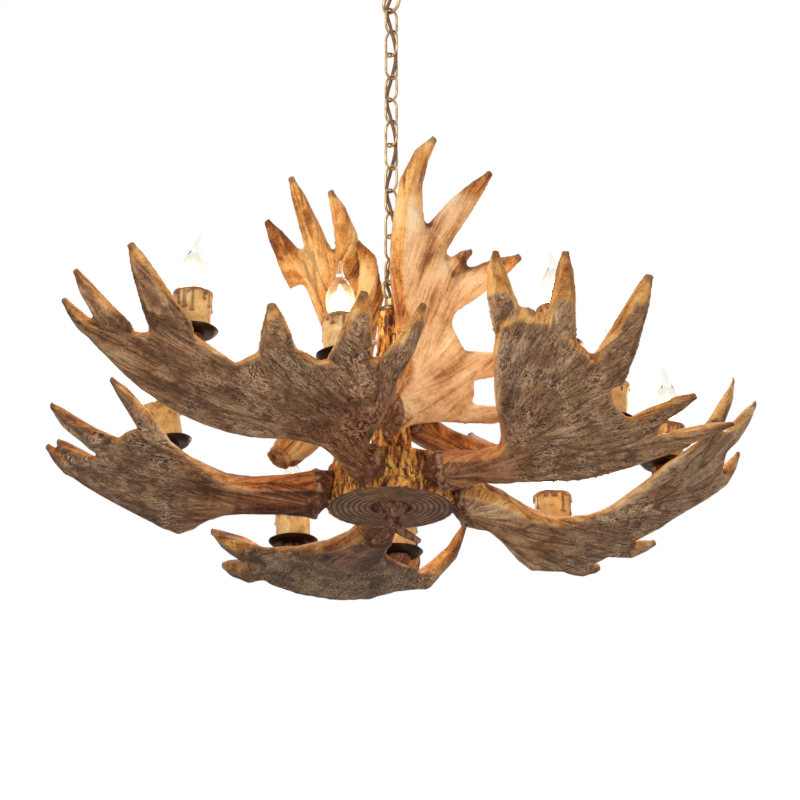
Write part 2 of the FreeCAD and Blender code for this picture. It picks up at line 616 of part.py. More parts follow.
def make_finial():
    """Forked twig under the disc, its root filling the disc's recess."""
    reach = size("finial_length")
    root = size("disc_recess_depth") - size("seat_gap")
    stem = limb([Vector(0, 0, root), Vector(0, 0, -4), Vector(2, 0, -0.4 * reach),
                 Vector(3, 0, -0.62 * reach)], [21, 16, 7, 7], 10)
    fork_radii = [6.5, 5, 2.4]
    left = limb([Vector(4, 0, -0.4 * reach), Vector(-6, -4, -0.72 * reach), Vector(-21, -9, -reach)],
                fork_radii)
    right = limb([Vector(0, 0, -0.4 * reach), Vector(14, -6, -0.7 * reach), Vector(34, -12, -reach)],
                 fork_radii)
    shape_node("twig_finial", stem.fuse([left, right]), Placement(HUB, Rotation()))


# ---------------------------------------------------------------- antlers

class Sheet:
    """The curved sheet that an antler lies on."""

    def __init__(self, seat, heading, pitch, roll, hand, bow, cup, cup_line, stout=1.0, **_):
        yaw, rise, lean = math.radians(heading), math.radians(pitch), math.radians(roll)
        self.along = Vector(math.cos(rise) * math.cos(yaw), math.cos(rise) * math.sin(yaw), math.sin(rise))
        side = Vector(-math.sin(yaw), math.cos(yaw), 0) * hand
        top = self.along.cross(Vector(-math.sin(yaw), math.cos(yaw), 0))
        self.across = side * math.cos(lean) + top * math.sin(lean)
        self.out = top * math.cos(lean) - side * math.sin(lean)
        self.seat = Vector(*seat)
        self.scale = size("antler_size")
        self.bow, self.cup, self.cup_line, self.stout = bow, cup, cup_line, stout

    @staticmethod
    def roll_up(distance, start, radius):
        """Distance along a bend, as run, rise and angle from where the bend is level."""
        if radius == 0:
            return distance, 0.0, 0.0
        here, there = (distance - start) / radius, -start / radius
        return radius * (math.sin(here) - math.sin(there)), radius * (math.cos(there) - math.cos(here)), here

    def at(self, u, v, height=0.0):
        """Point at (u, v) on the sheet, raised off it by a height, from the hub's datum."""
        run_u, rise_u, angle_u = self.roll_up(u, 0.0, self.bow)
        run_v, rise_v, angle_v = self.roll_up(v, self.cup_line, self.cup)
        normal = (self.out - self.along * math.sin(angle_u) - self.across * math.sin(angle_v)).normalize()
        offset = self.along * run_u + self.across * run_v + self.out * (rise_u + rise_v) + normal * height
        return self.seat + offset * self.scale


# rounded lens: share of the half width, share of the half thickness
PALM_SECTION = [(1, 0), (0.86, 0.75), (0.34, 1), (-0.34, 1), (-0.86, 0.75),
                (-1, 0), (-0.86, -0.75), (-0.34, -1), (0.34, -1), (0.86, -0.75)]
HALF_WAY = len(PALM_SECTION) // 2
TINE_STEPS = (0.0, 0.35, 0.7, 0.95)
TINE_SIDES = 6


def palm_ring(surface, station):
    """Cross-section between two edge points of the palm."""
    u_low, v_low, u_high, v_high, thick = station
    ring = []
    for share, level in PALM_SECTION:
        blend = (share + 1) / 2
        u, v = u_low + (u_high - u_low) * blend, v_low + (v_high - v_low) * blend
        ring.append(surface.at(u, v, level * thick / 2))
    return ring


def tine_rings(surface, tine):
    """Tapering round sections along the tine's curve."""
    root_u, root_v, width, lean_u, lean_v, tip_u, tip_v, rise = tine
    rings = []
    for s in TINE_STEPS:
        u = (1 - s) ** 2 * root_u + 2 * s * (1 - s) * lean_u + s * s * tip_u
        v = (1 - s) ** 2 * root_v + 2 * s * (1 - s) * lean_v + s * s * tip_v
        du = (1 - s) * (lean_u - root_u) + s * (tip_u - lean_u)
        dv = (1 - s) * (lean_v - root_v) + s * (tip_v - lean_v)
        length = math.hypot(du, dv)
        half = (width / 2) * (1 - s) ** 0.7 + size("tine_tip_radius") * s
        # the root end is thin, so that the tine grows out of the palm and doesn't stand on it
        full = size("tine_depth") * surface.stout * (1 - s) ** 0.7 + size("tine_tip_radius")
        deep = full * min(1.0, 0.25 + 2.2 * s)
        ring = []
        for k in range(TINE_SIDES):
            a = 2 * math.pi * k / TINE_SIDES
            ring.append(surface.at(u - dv / length * half * math.cos(a), v + du / length * half * math.cos(a),
                                   rise * s * s + deep * math.sin(a)))
        rings.append(ring)
    return rings


def burr_rings(surface, station):
    """Rough collar round the beam, just outside its end."""
    u_low, v_low, u_high, v_high, _ = station
    middle_u, middle_v = (u_low + u_high) / 2, (v_low + v_high) / 2
    centre = surface.at(middle_u, middle_v)
    edge = (surface.at(u_high, v_high) - surface.at(u_low, v_low)).normalize()
    top = (surface.at(middle_u, middle_v, 1) - centre).normalize()
    along = edge.cross(top)
    rings = []
    for distance, share in ((-0.5, 0.84), (-0.15, 1.0), (0.25, 0.98), (0.5, 0.8)):
        ring = []
        for k in range(12):
            a = 2 * math.pi * k / 12
            radius = size("burr_radius") * share * (1.0 if k % 2 else 0.92)
            ring.append(centre + along * (distance * size("burr_thick"))
                        + edge * (radius * math.cos(a)) + top * (radius * 0.9 * math.sin(a)))
        rings.append(ring)
    return rings


def root_direction(seat):
    """Level direction from the hanging axis to an antler's seat."""
    return Vector(seat[0], seat[1], 0).normalize()


def root_rings(surface, recipe):
    """Stub of beam from inside the drum's wall to the burr, to be cut back to the bark."""
    outward = root_direction(recipe["seat"])
    level = Vector(-outward.y, outward.x, 0)
    inner = outward * (size("drum_radius") - size("stub_inset"))
    inner += UP * max(recipe["seat"][2], size("screw_height"))
    first = palm_ring(surface, recipe["palm"][0])
    if (first[0] - first[HALF_WAY]).dot(level) < 0:
        level = -level
    half = size("stub_half")
    ring = [inner + level * (share * half) + UP * (height * half) for share, height in PALM_SECTION]
    return [ring, first]


def antler_solid(recipe, surface, carriers):
    """Palm, beam, tines and burr as one casting, coped to the hub pieces that carry it."""
    body = facet_solid([palm_ring(surface, station) for station in recipe["palm"]])
    limbs = [facet_solid(tine_rings(surface, tine)) for tine in recipe["tines"]]
    limbs.append(facet_solid(burr_rings(surface, recipe["palm"][0])))
    if recipe["root"] == "drum":
        limbs.append(facet_solid(root_rings(surface, recipe)))
    casting = body
    for branch in limbs:
        casting = casting.fuse(branch)
    for carrier in carriers:
        casting = casting.cut(carrier)
    return largest(casting)


def screw_line(recipe, surface):
    """Start inside the hub and end inside the antler, for the screw that holds it."""
    if recipe["root"] == "drum":
        outward = root_direction(recipe["seat"])
        height = UP * max(recipe["seat"][2], size("screw_height"))
        wall_left = size("drum_wall") - size("spot_face_depth")
        return outward * (size("drum_radius") - wall_left) + height, outward, wall_left + size("screw_grip")
    steps = [surface.at((s[0] + s[2]) / 2, (s[1] + s[3]) / 2) for s in recipe["palm"][:6]]
    near = min(steps, key=lambda point: math.hypot(point.x, point.y))
    outward = root_direction(near)
    start = size("rod_radius") + 4
    return outward * start + UP * near.z, outward, math.hypot(near.x, near.y) - start


def make_antlers_and_hub():
    """The drum, the column and the antlers, each drilled for the screws between them."""
    drum_body = make_hub_drum()
    drum = drum_body.Shape.copy()
    drum.translate(Vector(0, 0, size("disc_thick")))
    column = column_shape()
    gap, inset = size("seat_gap"), size("screw_inset")
    clear = size("disc_radius") + 1.5
    disc = spun([(clear, -gap, 0), (clear, size("disc_thick") + gap, 0)], 24)
    surfaces, castings, bores, spot_faces, screws = {}, {}, [], [], []
    for name, recipe in ANTLERS.items():
        surface = Sheet(**recipe)
        start, outward, length = screw_line(recipe, surface)
        shank_end = start + outward * length
        if recipe["root"] == "drum":
            head_end = start - outward * size("screw_head_thick")
            head = spun([(size("screw_head") / 2, level, 0) for level in (0, size("screw_head_thick"))], 6)
            head.Placement = Placement(head_end, Rotation(UP, outward))
            screw = head.fuse(bar(start - outward * inset, shank_end, size("screw_radius") - gap, 8))
        else:
            screw = bar(start + outward * inset, shank_end - outward * inset, size("screw_radius") - gap, 8)
        bores.append(bar(start - outward * 2.0, shank_end, size("screw_radius"), 8))
        spot_faces.append(bar(start - outward * 6.0, start, size("spot_face_radius"), 10))
        screws.append(screw)
        carriers = [drum, column, disc]
        surfaces[name] = surface
        castings[name] = antler_solid(recipe, surface, carriers).cut(bores[-1])
    for bore, spot_face in zip(bores, spot_faces):
        drum = drum.cut(bore).cut(spot_face)
        column = column.cut(bore)
    shape_node("hub_drum", drum, Placement(HUB, Rotation()))
    shape_node("hub_column", column, Placement(HUB, Rotation()))
    for name, casting in castings.items():
        shape_node(name, casting, Placement(HUB, Rotation()))
    shape_node("antler_screws", Part.makeCompound(screws), Placement(HUB, Rotation()))
    return surfaces, castings


# ---------------------------------------------------------------- candle lamps

def pan_shape():
    """Shallow drip pan with a turned-up rim, its upper face at height 0."""
    hole = size("holder_stem_radius") + size("seat_gap")
    thick, rim, reach = size("pan_thick"), size("pan_rim"), size("pan_radius")
    return turned([(hole, -thick), (reach - 6, -thick), (reach, rim - thick), (reach - 1.6, rim - thick),
                   (reach - 7, 0), (hole, 0)], 10)


def sleeve_shape():
    """Candle tube with wax rounded over its top edge."""
    radius, height, bore = size("sleeve_radius"), size("sleeve_height"), size("sleeve_bore_radius")
    proud = size("wax_overhang")
    body = radius - 0.6
    return turned([(bore, 0), (body, 0), (body, height - 18), (body + proud * 0.6, height - 12),
                   (body + proud * 0.4, height - 4), (radius - 4, height), (bore, height)], 12)


def holder_shape():
    """Lamp holder on a stem that passes down through the pan into the post."""
    stem, radius, height = size("holder_stem_radius"), size("holder_radius"), size("holder_height")
    floor = height - size("lamp_cap_length") - size("seat_gap")
    bore, foot = size("holder_bore_radius") / math.cos(math.pi / 8), -size("stem_length")
    return turned([(0.01, foot), (stem, foot), (stem, 0), (radius, 0), (radius, height), (bore, height),
                   (bore, floor), (0.01, floor)], 8)


def lamp_shape(turn):
    """Candle lamp: screw cap, slim neck, flame-shaped glass and a drawn-out tail that bends over."""
    cap, top = size("lamp_cap_radius"), size("sleeve_height") + size("lamp_show")
    foot = size("holder_height") - size("lamp_cap_length")
    neck = size("holder_height") + 2
    widest = neck + 30
    bend = size("lamp_tail_bend")
    stations = [(cap * 0.5, foot, 0), (cap, foot + 3, 0), (cap, neck, 0), (cap + 4, neck + 8, 0),
                (size("lamp_radius") * 0.93, widest - 9, 0), (size("lamp_radius"), widest, 0),
                (size("lamp_radius") * 0.78, widest + 14, 0),
                (size("lamp_radius") * 0.36, widest + 29, bend * 0.15), (3.2, top - 12, bend * 0.45),
                (1.2, top, bend)]
    solid = spun(stations, 8)
    solid.rotate(Vector(), UP, turn)
    return solid


def candle_frame(spec, surfaces):
    """Where a candle's pan sits: its upper face, with Z up the candle."""
    name, u, v, height, lean_x, lean_y = spec
    up = Vector(math.tan(math.radians(lean_x)), math.tan(math.radians(lean_y)), 1).normalize()
    foot = surfaces[name].at(u, v)
    return foot, Placement(foot + up * height, Rotation(UP, up))


def make_candles(surfaces, castings):
    posts, holders = [], []
    thick, gap = size("pan_thick"), size("seat_gap")
    for number, spec in enumerate(CANDLES, start=1):
        foot, frame = candle_frame(spec, surfaces)
        placed = Placement(HUB, Rotation()).multiply(frame)
        bore, floor = size("holder_stem_radius") + gap, -size("post_floor")
        foot_z = -spec[3] - size("post_sink")
        outer, foot_radius = size("post_radius"), size("post_foot_radius")
        post = turned([(bore, floor), (bore, -thick), (outer, -thick), (outer, -0.3 * spec[3] - thick),
                       (foot_radius, foot_z), (0.01, foot_z), (0.01, floor)], 8)
        post.Placement = frame
        pieces = post.cut(castings[spec[0]]).Solids
        upper = max(pieces, key=lambda solid: solid.CenterOfMass.z)
        posts.append(upper)
        holder = holder_shape()
        holder.Placement = frame
        holders.append(holder)
        shape_node("drip_pan_%d" % number, pan_shape(), placed)
        shape_node("candle_sleeve_%d" % number, sleeve_shape(), placed)
        shape_node("lamp_%d" % number, lamp_shape(40 * number), placed)
    shape_node("candle_posts", Part.makeCompound(posts), Placement(HUB, Rotation()))
    shape_node("lamp_holders", Part.makeCompound(holders), Placement(HUB, Rotation()))


# ---------------------------------------------------------------- build, check and write

make_ceiling_fitting()
make_chain()
make_flex()
make_ring_disc()
make_hub_hardware()
make_finial()
antler_surfaces, antler_castings = make_antlers_and_hub()
make_candles(antler_surfaces, antler_castings)
doc.recompute()

for item in doc.Objects:
    if "Invalid" in item.State or "Error" in item.State:
        raise RuntimeError("%s failed: %s" % (item.Label, item.State))
for feature in NODES:
    if feature.Shape.isNull() or not feature.Shape.isValid() or not feature.Shape.Solids:
        raise RuntimeError("%s has no valid solid" % feature.Label)

os.makedirs("parts", exist_ok=True)
for feature in NODES:
    feature.Shape.exportStep("parts/%s.step" % feature.Label)
print("%d nodes, hub datum at z = %.1f" % (len(NODES), HUB_Z))
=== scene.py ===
"""Looks of the antler chandelier: fibrous antlers round a bark hub, nine lit candle lamps, chain and flex."""
import heapq
import json
import math

import bmesh
import bpy
import numpy as np
import openvdb
from mathutils import Matrix, Vector


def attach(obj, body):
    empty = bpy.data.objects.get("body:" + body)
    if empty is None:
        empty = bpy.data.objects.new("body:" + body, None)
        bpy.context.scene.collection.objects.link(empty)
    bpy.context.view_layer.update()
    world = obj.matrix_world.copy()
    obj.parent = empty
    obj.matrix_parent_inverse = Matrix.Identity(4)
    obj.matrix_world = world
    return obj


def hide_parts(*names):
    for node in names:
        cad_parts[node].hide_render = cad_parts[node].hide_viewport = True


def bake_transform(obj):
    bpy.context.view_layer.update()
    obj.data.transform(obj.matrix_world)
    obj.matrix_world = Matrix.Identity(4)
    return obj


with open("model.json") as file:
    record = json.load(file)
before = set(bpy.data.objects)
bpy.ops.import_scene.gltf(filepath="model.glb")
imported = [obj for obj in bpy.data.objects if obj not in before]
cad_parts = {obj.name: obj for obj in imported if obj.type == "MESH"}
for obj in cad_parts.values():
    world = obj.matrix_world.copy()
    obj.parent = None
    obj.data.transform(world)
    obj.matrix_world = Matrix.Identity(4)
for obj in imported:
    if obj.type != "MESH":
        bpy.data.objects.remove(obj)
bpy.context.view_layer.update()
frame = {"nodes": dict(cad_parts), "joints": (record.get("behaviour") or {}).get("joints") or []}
NODES = frame["nodes"]
JOINTS = {joint["name"]: joint for joint in frame["joints"]}
MM = 0.001
TAU = 2 * math.pi

# levels of the hanging assembly, in millimetres
COLLAR_Z, CEILING_LOOP_Z, TOP_LINK_Z = -38.0, -60.6, -68.1
LINK_PITCH, LINK_COUNT, LINK_LENGTH, LINK_WIDTH, LINK_WIRE = 30.6, 12, 37.3, 22.0, 3.2
HUB_LOOP_Z, HUB_Z = -449.5, -728.1
HUB_CENTRE = (0, 0, HUB_Z * MM)
LAMPS = range(1, 10)


# ---- node graphs

class Graph:
    """Short calls for building one material's nodes."""

    def __init__(self, name, kind="Material"):
        self.owner = (bpy.data.worlds if kind == "World" else bpy.data.materials).new(name)
        self.owner.use_nodes = True
        self.tree = self.owner.node_tree
        self.tree.nodes.clear()
        self.output = self.tree.nodes.new("ShaderNodeOutput" + kind)

    def put(self, socket, value):
        if isinstance(value, bpy.types.NodeSocket):
            self.tree.links.new(value, socket)
        else:
            socket.default_value = value

    def node(self, kind, settings=(), **inputs):
        made = self.tree.nodes.new(kind)
        for key, value in dict(settings).items():
            setattr(made, key, value)
        for key, value in inputs.items():
            self.put(made.inputs[key.replace("_", " ")], value)
        return made

    def attribute(self, name, output="Fac"):
        return self.node("ShaderNodeAttribute", {"attribute_name": name}).outputs[output]

    def position(self):
        return self.node("ShaderNodeTexCoord").outputs["Object"]

    def stretch(self, vector, scale):
        return self.node("ShaderNodeMapping", Vector=vector, Scale=scale).outputs[0]

    def noise(self, vector, scale, detail=4.0, rough=0.55, twist=0.0):
        return self.node("ShaderNodeTexNoise", Vector=vector, Scale=scale, Detail=detail,
                         Roughness=rough, Distortion=twist).outputs[0]

    def grain(self, across, along, *look):
        """Noise stretched along the piece's axis."""
        return self.noise(self.stretch(self.position(), (across, across, along)), 1.0, *look)

    def math(self, operation, a, b=0.0, clamp=False):
        made = self.node("ShaderNodeMath", {"operation": operation, "use_clamp": clamp})
        self.put(made.inputs[0], a)
        self.put(made.inputs[1], b)
        return made.outputs[0]
    def add(self, a, b, clamp=False):
        return self.math("ADD", a, b, clamp)

    def less(self, a, b):
        return self.math("SUBTRACT", a, b)

    def times(self, a, b):
        return self.math("MULTIPLY", a, b)

    def weighted(self, *terms):
        """Sum of values, each times its weight."""
        total = None
        for value, weight in terms:
            term = self.times(value, weight)
            total = term if total is None else self.add(total, term)
        return total

    def span(self, value, low, high, to_low=0.0, to_high=1.0):
        return self.node("ShaderNodeMapRange", {"interpolation_type": "SMOOTHSTEP"}, Value=value,
                         From_Min=low, From_Max=high, To_Min=to_low, To_Max=to_high).outputs[0]

    def blend(self, factor, a, b):
        made = self.node("ShaderNodeMix", {"data_type": "FLOAT"})
        for index, value in ((0, factor), (2, a), (3, b)):
            self.put(made.inputs[index], value)
        return made.outputs[0]

    def mix(self, factor, a, b, mode="MIX"):
        made = self.node("ShaderNodeMix", {"data_type": "RGBA", "blend_type": mode})
        for index, value in ((0, factor), (6, colour(a)), (7, colour(b))):
            self.put(made.inputs[index], value)
        return made.outputs[2]

    def coats(self, shade, *layers):
        """Colours laid over a shade one after another, each with its own share."""
        for factor, layer in layers:
            shade = self.mix(factor, shade, layer)
        return shade

    def ramp(self, factor, *stops):
        made = self.node("ShaderNodeValToRGB", Fac=factor)
        elements = made.color_ramp.elements
        while len(elements) < len(stops):
            elements.new(0.5)
        for element, (place, shade) in zip(elements, stops):
            element.position = place
            element.color = colour(shade)
        return made.outputs[0]

    def bump(self, height, distance, strength=1.0, below=None):
        made = self.node("ShaderNodeBump", Height=height, Distance=distance * MM, Strength=strength)
        if below is not None:
            self.put(made.inputs["Normal"], below)
        return made.outputs[0]

    def surface(self, **inputs):
        shader = self.node("ShaderNodeBsdfPrincipled", **inputs)
        self.put(self.output.inputs["Surface"], shader.outputs[0])
        return self.owner


def colour(value):
    """Three numbers with an opaque fourth; a socket passes through."""
    if isinstance(value, (tuple, list)) and len(value) == 3:
        return (*value, 1.0)
    return value


# ---- numbers over points

HASH = 374761393, 668265263, 1440662683, 97911, 1274126177


def field(points, seed=0):
    """Smooth random field between -1 and 1 over rows of points."""
    cell = np.floor(points).astype(np.int64)
    part = points - cell
    part = part * part * (3 - 2 * part)
    total = np.zeros(len(points))
    for i, j, k in np.ndindex(2, 2, 2):
        mark = (cell[:, 0] + i) * HASH[0] + (cell[:, 1] + j) * HASH[1]
        mark = mark + (cell[:, 2] + k) * HASH[2] + seed * HASH[3]
        mark = (mark ^ (mark >> 13)) * HASH[4]
        value = ((mark ^ (mark >> 16)) & 0xFFFF) / 32767.5 - 1
        share = np.abs(1 - i - part[:, 0]) * np.abs(1 - j - part[:, 1]) * np.abs(1 - k - part[:, 2])
        total += value * share
    return total


def cloud(points, octaves, seed=0):
    """Layered field: each finer layer weighs half the one above."""
    total, weight = np.zeros(len(points)), 0.0
    for step in range(octaves):
        total += field(points * 2 ** step + 7.3 * step, seed + step) * 0.5 ** step
        weight += 0.5 ** step
    return total / weight


def ease(values, low, high):
    """Smooth step from 0 at low to 1 at high."""
    share = np.clip((values - low) / (high - low), 0, 1)
    return share * share * (3 - 2 * share)


def lengths(rows):
    return np.linalg.norm(rows, axis=1)


def unit(rows):
    """Rows of vectors, each made one long."""
    return rows / np.maximum(lengths(rows), 1e-12)[:, None]


def spun(reach, turn, height):
    """Rows of points from radius, angle and height."""
    return np.stack([reach * np.cos(turn), reach * np.sin(turn), height + 0 * turn], axis=1)


# ---- meshes

def read(data, name, width=1, kind=int):
    """One property of all of a mesh's vertices, edges or faces; in rows where it has several numbers."""
    values = np.empty(len(data) * width, np.float32 if kind is float else np.int32)
    data.foreach_get(name, values)
    return values.astype(kind).reshape(-1, width) if width > 1 else values.astype(kind)


def points_of(mesh):
    return read(mesh.vertices, "co", 3, float)


def set_points(mesh, points):
    mesh.vertices.foreach_set("co", points.astype(np.float32).ravel())
    mesh.update()
    return mesh


def write_values(mesh, **rows):
    """A number or vector at each point, by name, for the materials to read."""
    for name, values in rows.items():
        kind, key = ("FLOAT_VECTOR", "vector") if values.ndim == 2 else ("FLOAT", "value")
        made = mesh.attributes.new(name, kind, "POINT")
        made.data.foreach_set(key, values.astype(np.float32).ravel())


def stand(name, data):
    """A new object in the scene."""
    thing = bpy.data.objects.new(name, data)
    bpy.context.scene.collection.objects.link(thing)
    return thing


def place(name, mesh, material, body, slot, replaced=()):
    """Make a piece of a finished mesh: its look, the body it rides on, the nodes it stands for; the slot is
    not used.
    """
    piece = stand(name, mesh)
    mesh.materials.clear()
    mesh.materials.append(material)
    if body:
        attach(piece, body)
    if replaced:
        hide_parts(*replaced)
    return piece


def mesh_of(name, points, faces, sharp=None):
    mesh = bpy.data.meshes.new(name)
    mesh.from_pydata([tuple(point) for point in points], [], faces)
    mesh.update()
    mesh.polygons.foreach_set("use_smooth", [True] * len(mesh.polygons))
    if sharp is not None:
        mesh.set_sharp_from_angle(angle=math.radians(sharp))
    return mesh


def grid_faces(rows, columns, wrap_rows=False):
    """Quads between neighbouring rings of points."""
    faces = []
    for i in range(rows if wrap_rows else rows - 1):
        near, far = i * columns, (i + 1) % rows * columns
        for j in range(columns):
            k = (j + 1) % columns
            faces.append((near + j, near + k, far + k, far + j))
    return faces


def rounded(outline, radius, steps=3):
    """Outline with its corners cut round."""
    path = []
    count = len(outline)
    for i, corner in enumerate(outline):
        here = Vector(corner)
        before, after = Vector(outline[i - 1]) - here, Vector(outline[(i + 1) % count]) - here
        cut = min(radius, 0.45 * before.length, 0.45 * after.length)
        first, last = here + before.normalized() * cut, here + after.normalized() * cut
        for k in range(steps + 1):
            s = k / steps
            path.append(tuple(first * (1 - s) ** 2 + here * (2 * s * (1 - s)) + last * s * s))
    return path


def lathe(name, outline, segments=64, closed=True, shape=None, sharp=35):
    """Outline of (radius, height) in millimetres turned about Z; shape may move each row of points."""
    rows = []
    turn = np.arange(segments) * TAU / segments
    for index, (radius, height) in enumerate(outline):
        ring = np.stack([np.full(segments, radius), turn, np.full(segments, height)], axis=1)
        if shape is not None:
            ring = shape(ring, index)
        rows.append(spun(*ring.T))
    points = np.concatenate(rows) * MM
    return mesh_of(name, points, grid_faces(len(outline), segments, wrap_rows=closed), sharp=sharp)


def tube(name, path, radius, sides=12, closed=False):
    """Round tube along points given in metres, its section carried without twist."""
    path = [Vector(point) for point in path]
    count = len(path)
    points = []
    side = None
    for i, point in enumerate(path):
        after = path[(i + 1) % count] if closed or i + 1 < count else point
        before = path[i - 1] if closed or i > 0 else point
        along = (after - before).normalized()
        if side is None:
            steep = abs(along.y) > 0.9
            side = (along.orthogonal() if steep else along.cross(Vector((0, 1, 0)))).normalized()
        side = (side - along * side.dot(along)).normalized()
        up = along.cross(side)
        for k in range(sides):
            angle = TAU * k / sides
            points.append(point + side * (math.cos(angle) * radius) + up * (math.sin(angle) * radius))
    faces = grid_faces(count, sides, wrap_rows=closed)
    if not closed:
        faces.append(tuple(range(sides))[::-1])
        faces.append(tuple(range((count - 1) * sides, count * sides)))
    return mesh_of(name, points, faces, sharp=50)


def joined(name, meshes):
    """Several meshes in one."""
    work = bmesh.new()
    for mesh in meshes:
        work.from_mesh(mesh)
    whole = bpy.data.meshes.new(name)
    work.to_mesh(whole)
    work.free()
    return whole


def moved(mesh, matrix):
    mesh.transform(matrix)
    mesh.update()
    return mesh


def offset_quads(points, faces, voxel, reach):
    """Even quads at a distance outside (or inside, if negative) closed faces, in millimetres."""
    step = openvdb.createLinearTransform(voxel * MM)
    levels = openvdb.FloatGrid.createLevelSetFromPolygons(
        points.astype(np.float32), transform=step, halfWidth=abs(reach) / voxel + 3.0, **faces)
    return levels.convertToQuads(reach * MM)


def even_mesh(node, voxel, web=0.0):
    """A fine, even mesh over a CAD node's solids. Web rounds out its inner corners to that radius."""
    data = NODES[node].data
    data.calc_loop_triangles()
    faces = {"triangles": read(data.loop_triangles, "vertices", 3).astype(np.uint32)}
    points, quads = offset_quads(points_of(data), faces, voxel, web)
    if web:
        points, quads = offset_quads(points, {"quads": quads}, voxel, -web)
    spans = points[quads]
    across = np.cross(spans[:, 2] - spans[:, 0], spans[:, 3] - spans[:, 1])
    if (across * spans[:, 0]).sum() < 0:
        quads = quads[:, ::-1]
    used, quads = np.unique(quads, return_inverse=True)
    return mesh_of(node + "_skin", points[used], quads.reshape(-1, 4).tolist())


class Skin:
    """Points, links and normals of a fine mesh, worked on as arrays."""

    def __init__(self, mesh):
        self.mesh = mesh
        self.count = len(mesh.vertices)
        self.points = points_of(mesh)
        self.edges = read(mesh.edges, "vertices", 2)
        corners = read(mesh.loops, "vertex_index")
        starts, totals = read(mesh.polygons, "loop_start"), read(mesh.polygons, "loop_total")
        self.quads = corners[starts[totals == 4][:, None] + np.arange(4)]
        self.links = np.concatenate([self.edges, self.quads[:, [0, 2]], self.quads[:, [1, 3]]])
        # every link both ways
        self.start = np.concatenate([self.links[:, 0], self.links[:, 1]])
        self.end = np.concatenate([self.links[:, 1], self.links[:, 0]])

    def gathered(self, index, rows):
        """Sum of the rows that belong to each point."""
        return np.stack([np.bincount(index, column, self.count) for column in rows.T], axis=1)

    def average(self, values, links=None):
        """Mean over each point's neighbours."""
        links = self.edges if links is None else links
        a, b = links[:, 0], links[:, 1]
        degree = np.maximum(np.bincount(links.ravel(), minlength=self.count), 1)
        flat = values.reshape(self.count, -1)
        total = self.gathered(a, flat[b]) + self.gathered(b, flat[a])
        return (total / degree[:, None]).reshape(values.shape)

    def soften(self, passes):
        """Round off the facets without shrinking the form."""
        for _ in range(passes):
            for share in (0.62, -0.65):
                self.points += share * (self.average(self.points) - self.points)

    def blur(self, values, passes):
        for _ in range(passes):
            values = 0.4 * values + 0.6 * self.average(values)
        return values

    def normals(self):
        corner = self.points[self.quads]
        across = np.cross(corner[:, 2] - corner[:, 0], corner[:, 3] - corner[:, 1])
        return unit(self.gathered(self.quads.ravel(), np.repeat(across, 4, axis=0)))

    def bulge(self):
        """How far each point stands out over its neighbours, in millimetres."""
        return ((self.average(self.points, self.links) - self.points) * self.normals()).sum(1) * -1000

    def push(self, amount):
        """Move each point along its normal by millimetres."""
        self.points += self.normals() * (amount * MM)[:, None]

    def finish(self):
        return set_points(self.mesh, self.points)

    def distances(self, source):
        """Shortest way over the surface from the source points to every point."""
        length = lengths(self.points[self.start] - self.points[self.end])
        order = np.argsort(self.start, kind="stable")
        ends, steps = self.end[order].tolist(), length[order].tolist()
        first = np.searchsorted(self.start[order], np.arange(self.count + 1)).tolist()
        best = [1e9] * self.count
        queue = [(0.0, int(index)) for index in source]
        for _, index in queue:
            best[index] = 0.0
        while queue:
            so_far, index = heapq.heappop(queue)
            if so_far > best[index]:
                continue
            for k in range(first[index], first[index + 1]):
                way = so_far + steps[k]
                if way < best[ends[k]]:
                    best[ends[k]] = way
                    heapq.heappush(queue, (way, ends[k]))
        best = np.array(best)
        best[best > 1e8] = best[best < 1e8].max()
        return best

    def flow(self, distance):
        """Direction over the surface in which the distance grows."""
        a, b = self.links[:, 0], self.links[:, 1]
        step = self.points[b] - self.points[a]
        pull = step * ((distance[b] - distance[a]) / np.maximum((step ** 2).sum(1), 1e-12))[:, None]
        total = self.blur(self.gathered(a, pull) + self.gathered(b, pull), 6)
        normal = self.normals()
        return unit(total - normal * (total * normal).sum(1)[:, None])

    def toward(self, flow):
        """Cosine between each link and the flow given for it."""
        step = self.points[self.end] - self.points[self.start]
        return (step * flow).sum(1) / np.maximum(lengths(step), 1e-12)

    def carried(self, distance, flow, band, offset):
        """Where each point's fibre entered its band: the same all along a fibre, band by band."""
        a, b = self.start, self.end
        number = np.floor((distance + offset) / band)
        weight = np.clip(self.toward(flow[b]), 0, 1) ** 5
        keep = (distance[a] < distance[b]) & (number[a] == number[b]) & (weight > 0.02)
        a, b, weight = a[keep], b[keep], weight[keep]
        order = np.lexsort((b, distance[b]))
        a, b, weight = a[order].tolist(), b[order].tolist(), weight[order].tolist()
        mark = self.points.tolist()
        i, total = 0, len(b)
        while i < total:
            here = b[i]
            x = y = z = whole = 0.0
            while i < total and b[i] == here:
                source = mark[a[i]]
                w = weight[i]
                x += source[0] * w
                y += source[1] * w
                z += source[2] * w
                whole += w
                i += 1
            mark[here] = [x / whole, y / whole, z / whole]
        return np.array(mark)

    def left_over(self, distance, flow):
        """How far the fibre through each point still runs before its tip or rim."""
        a, b = self.start, self.end
        keep = (distance[a] < distance[b]) & (self.toward(flow[a]) > 0.75)
        a, b = a[keep], b[keep]
        order = np.argsort(-distance[a], kind="stable")
        reach = distance.tolist()
        for here, ahead in zip(a[order].tolist(), b[order].tolist()):
            if reach[ahead] > reach[here]:
                reach[here] = reach[ahead]
        return np.array(reach) - distance


# ---- antlers

BAND = 0.085  # metres over which a fibre keeps its mark
DRIFT = np.array([0.6, -0.5, 0.62]) / 26  # how the marks change with each millimetre along a fibre
CRACK_SHADE, FELT_SHADE = (0.04, 0.014, 0.006), (0.74, 0.5, 0.3)


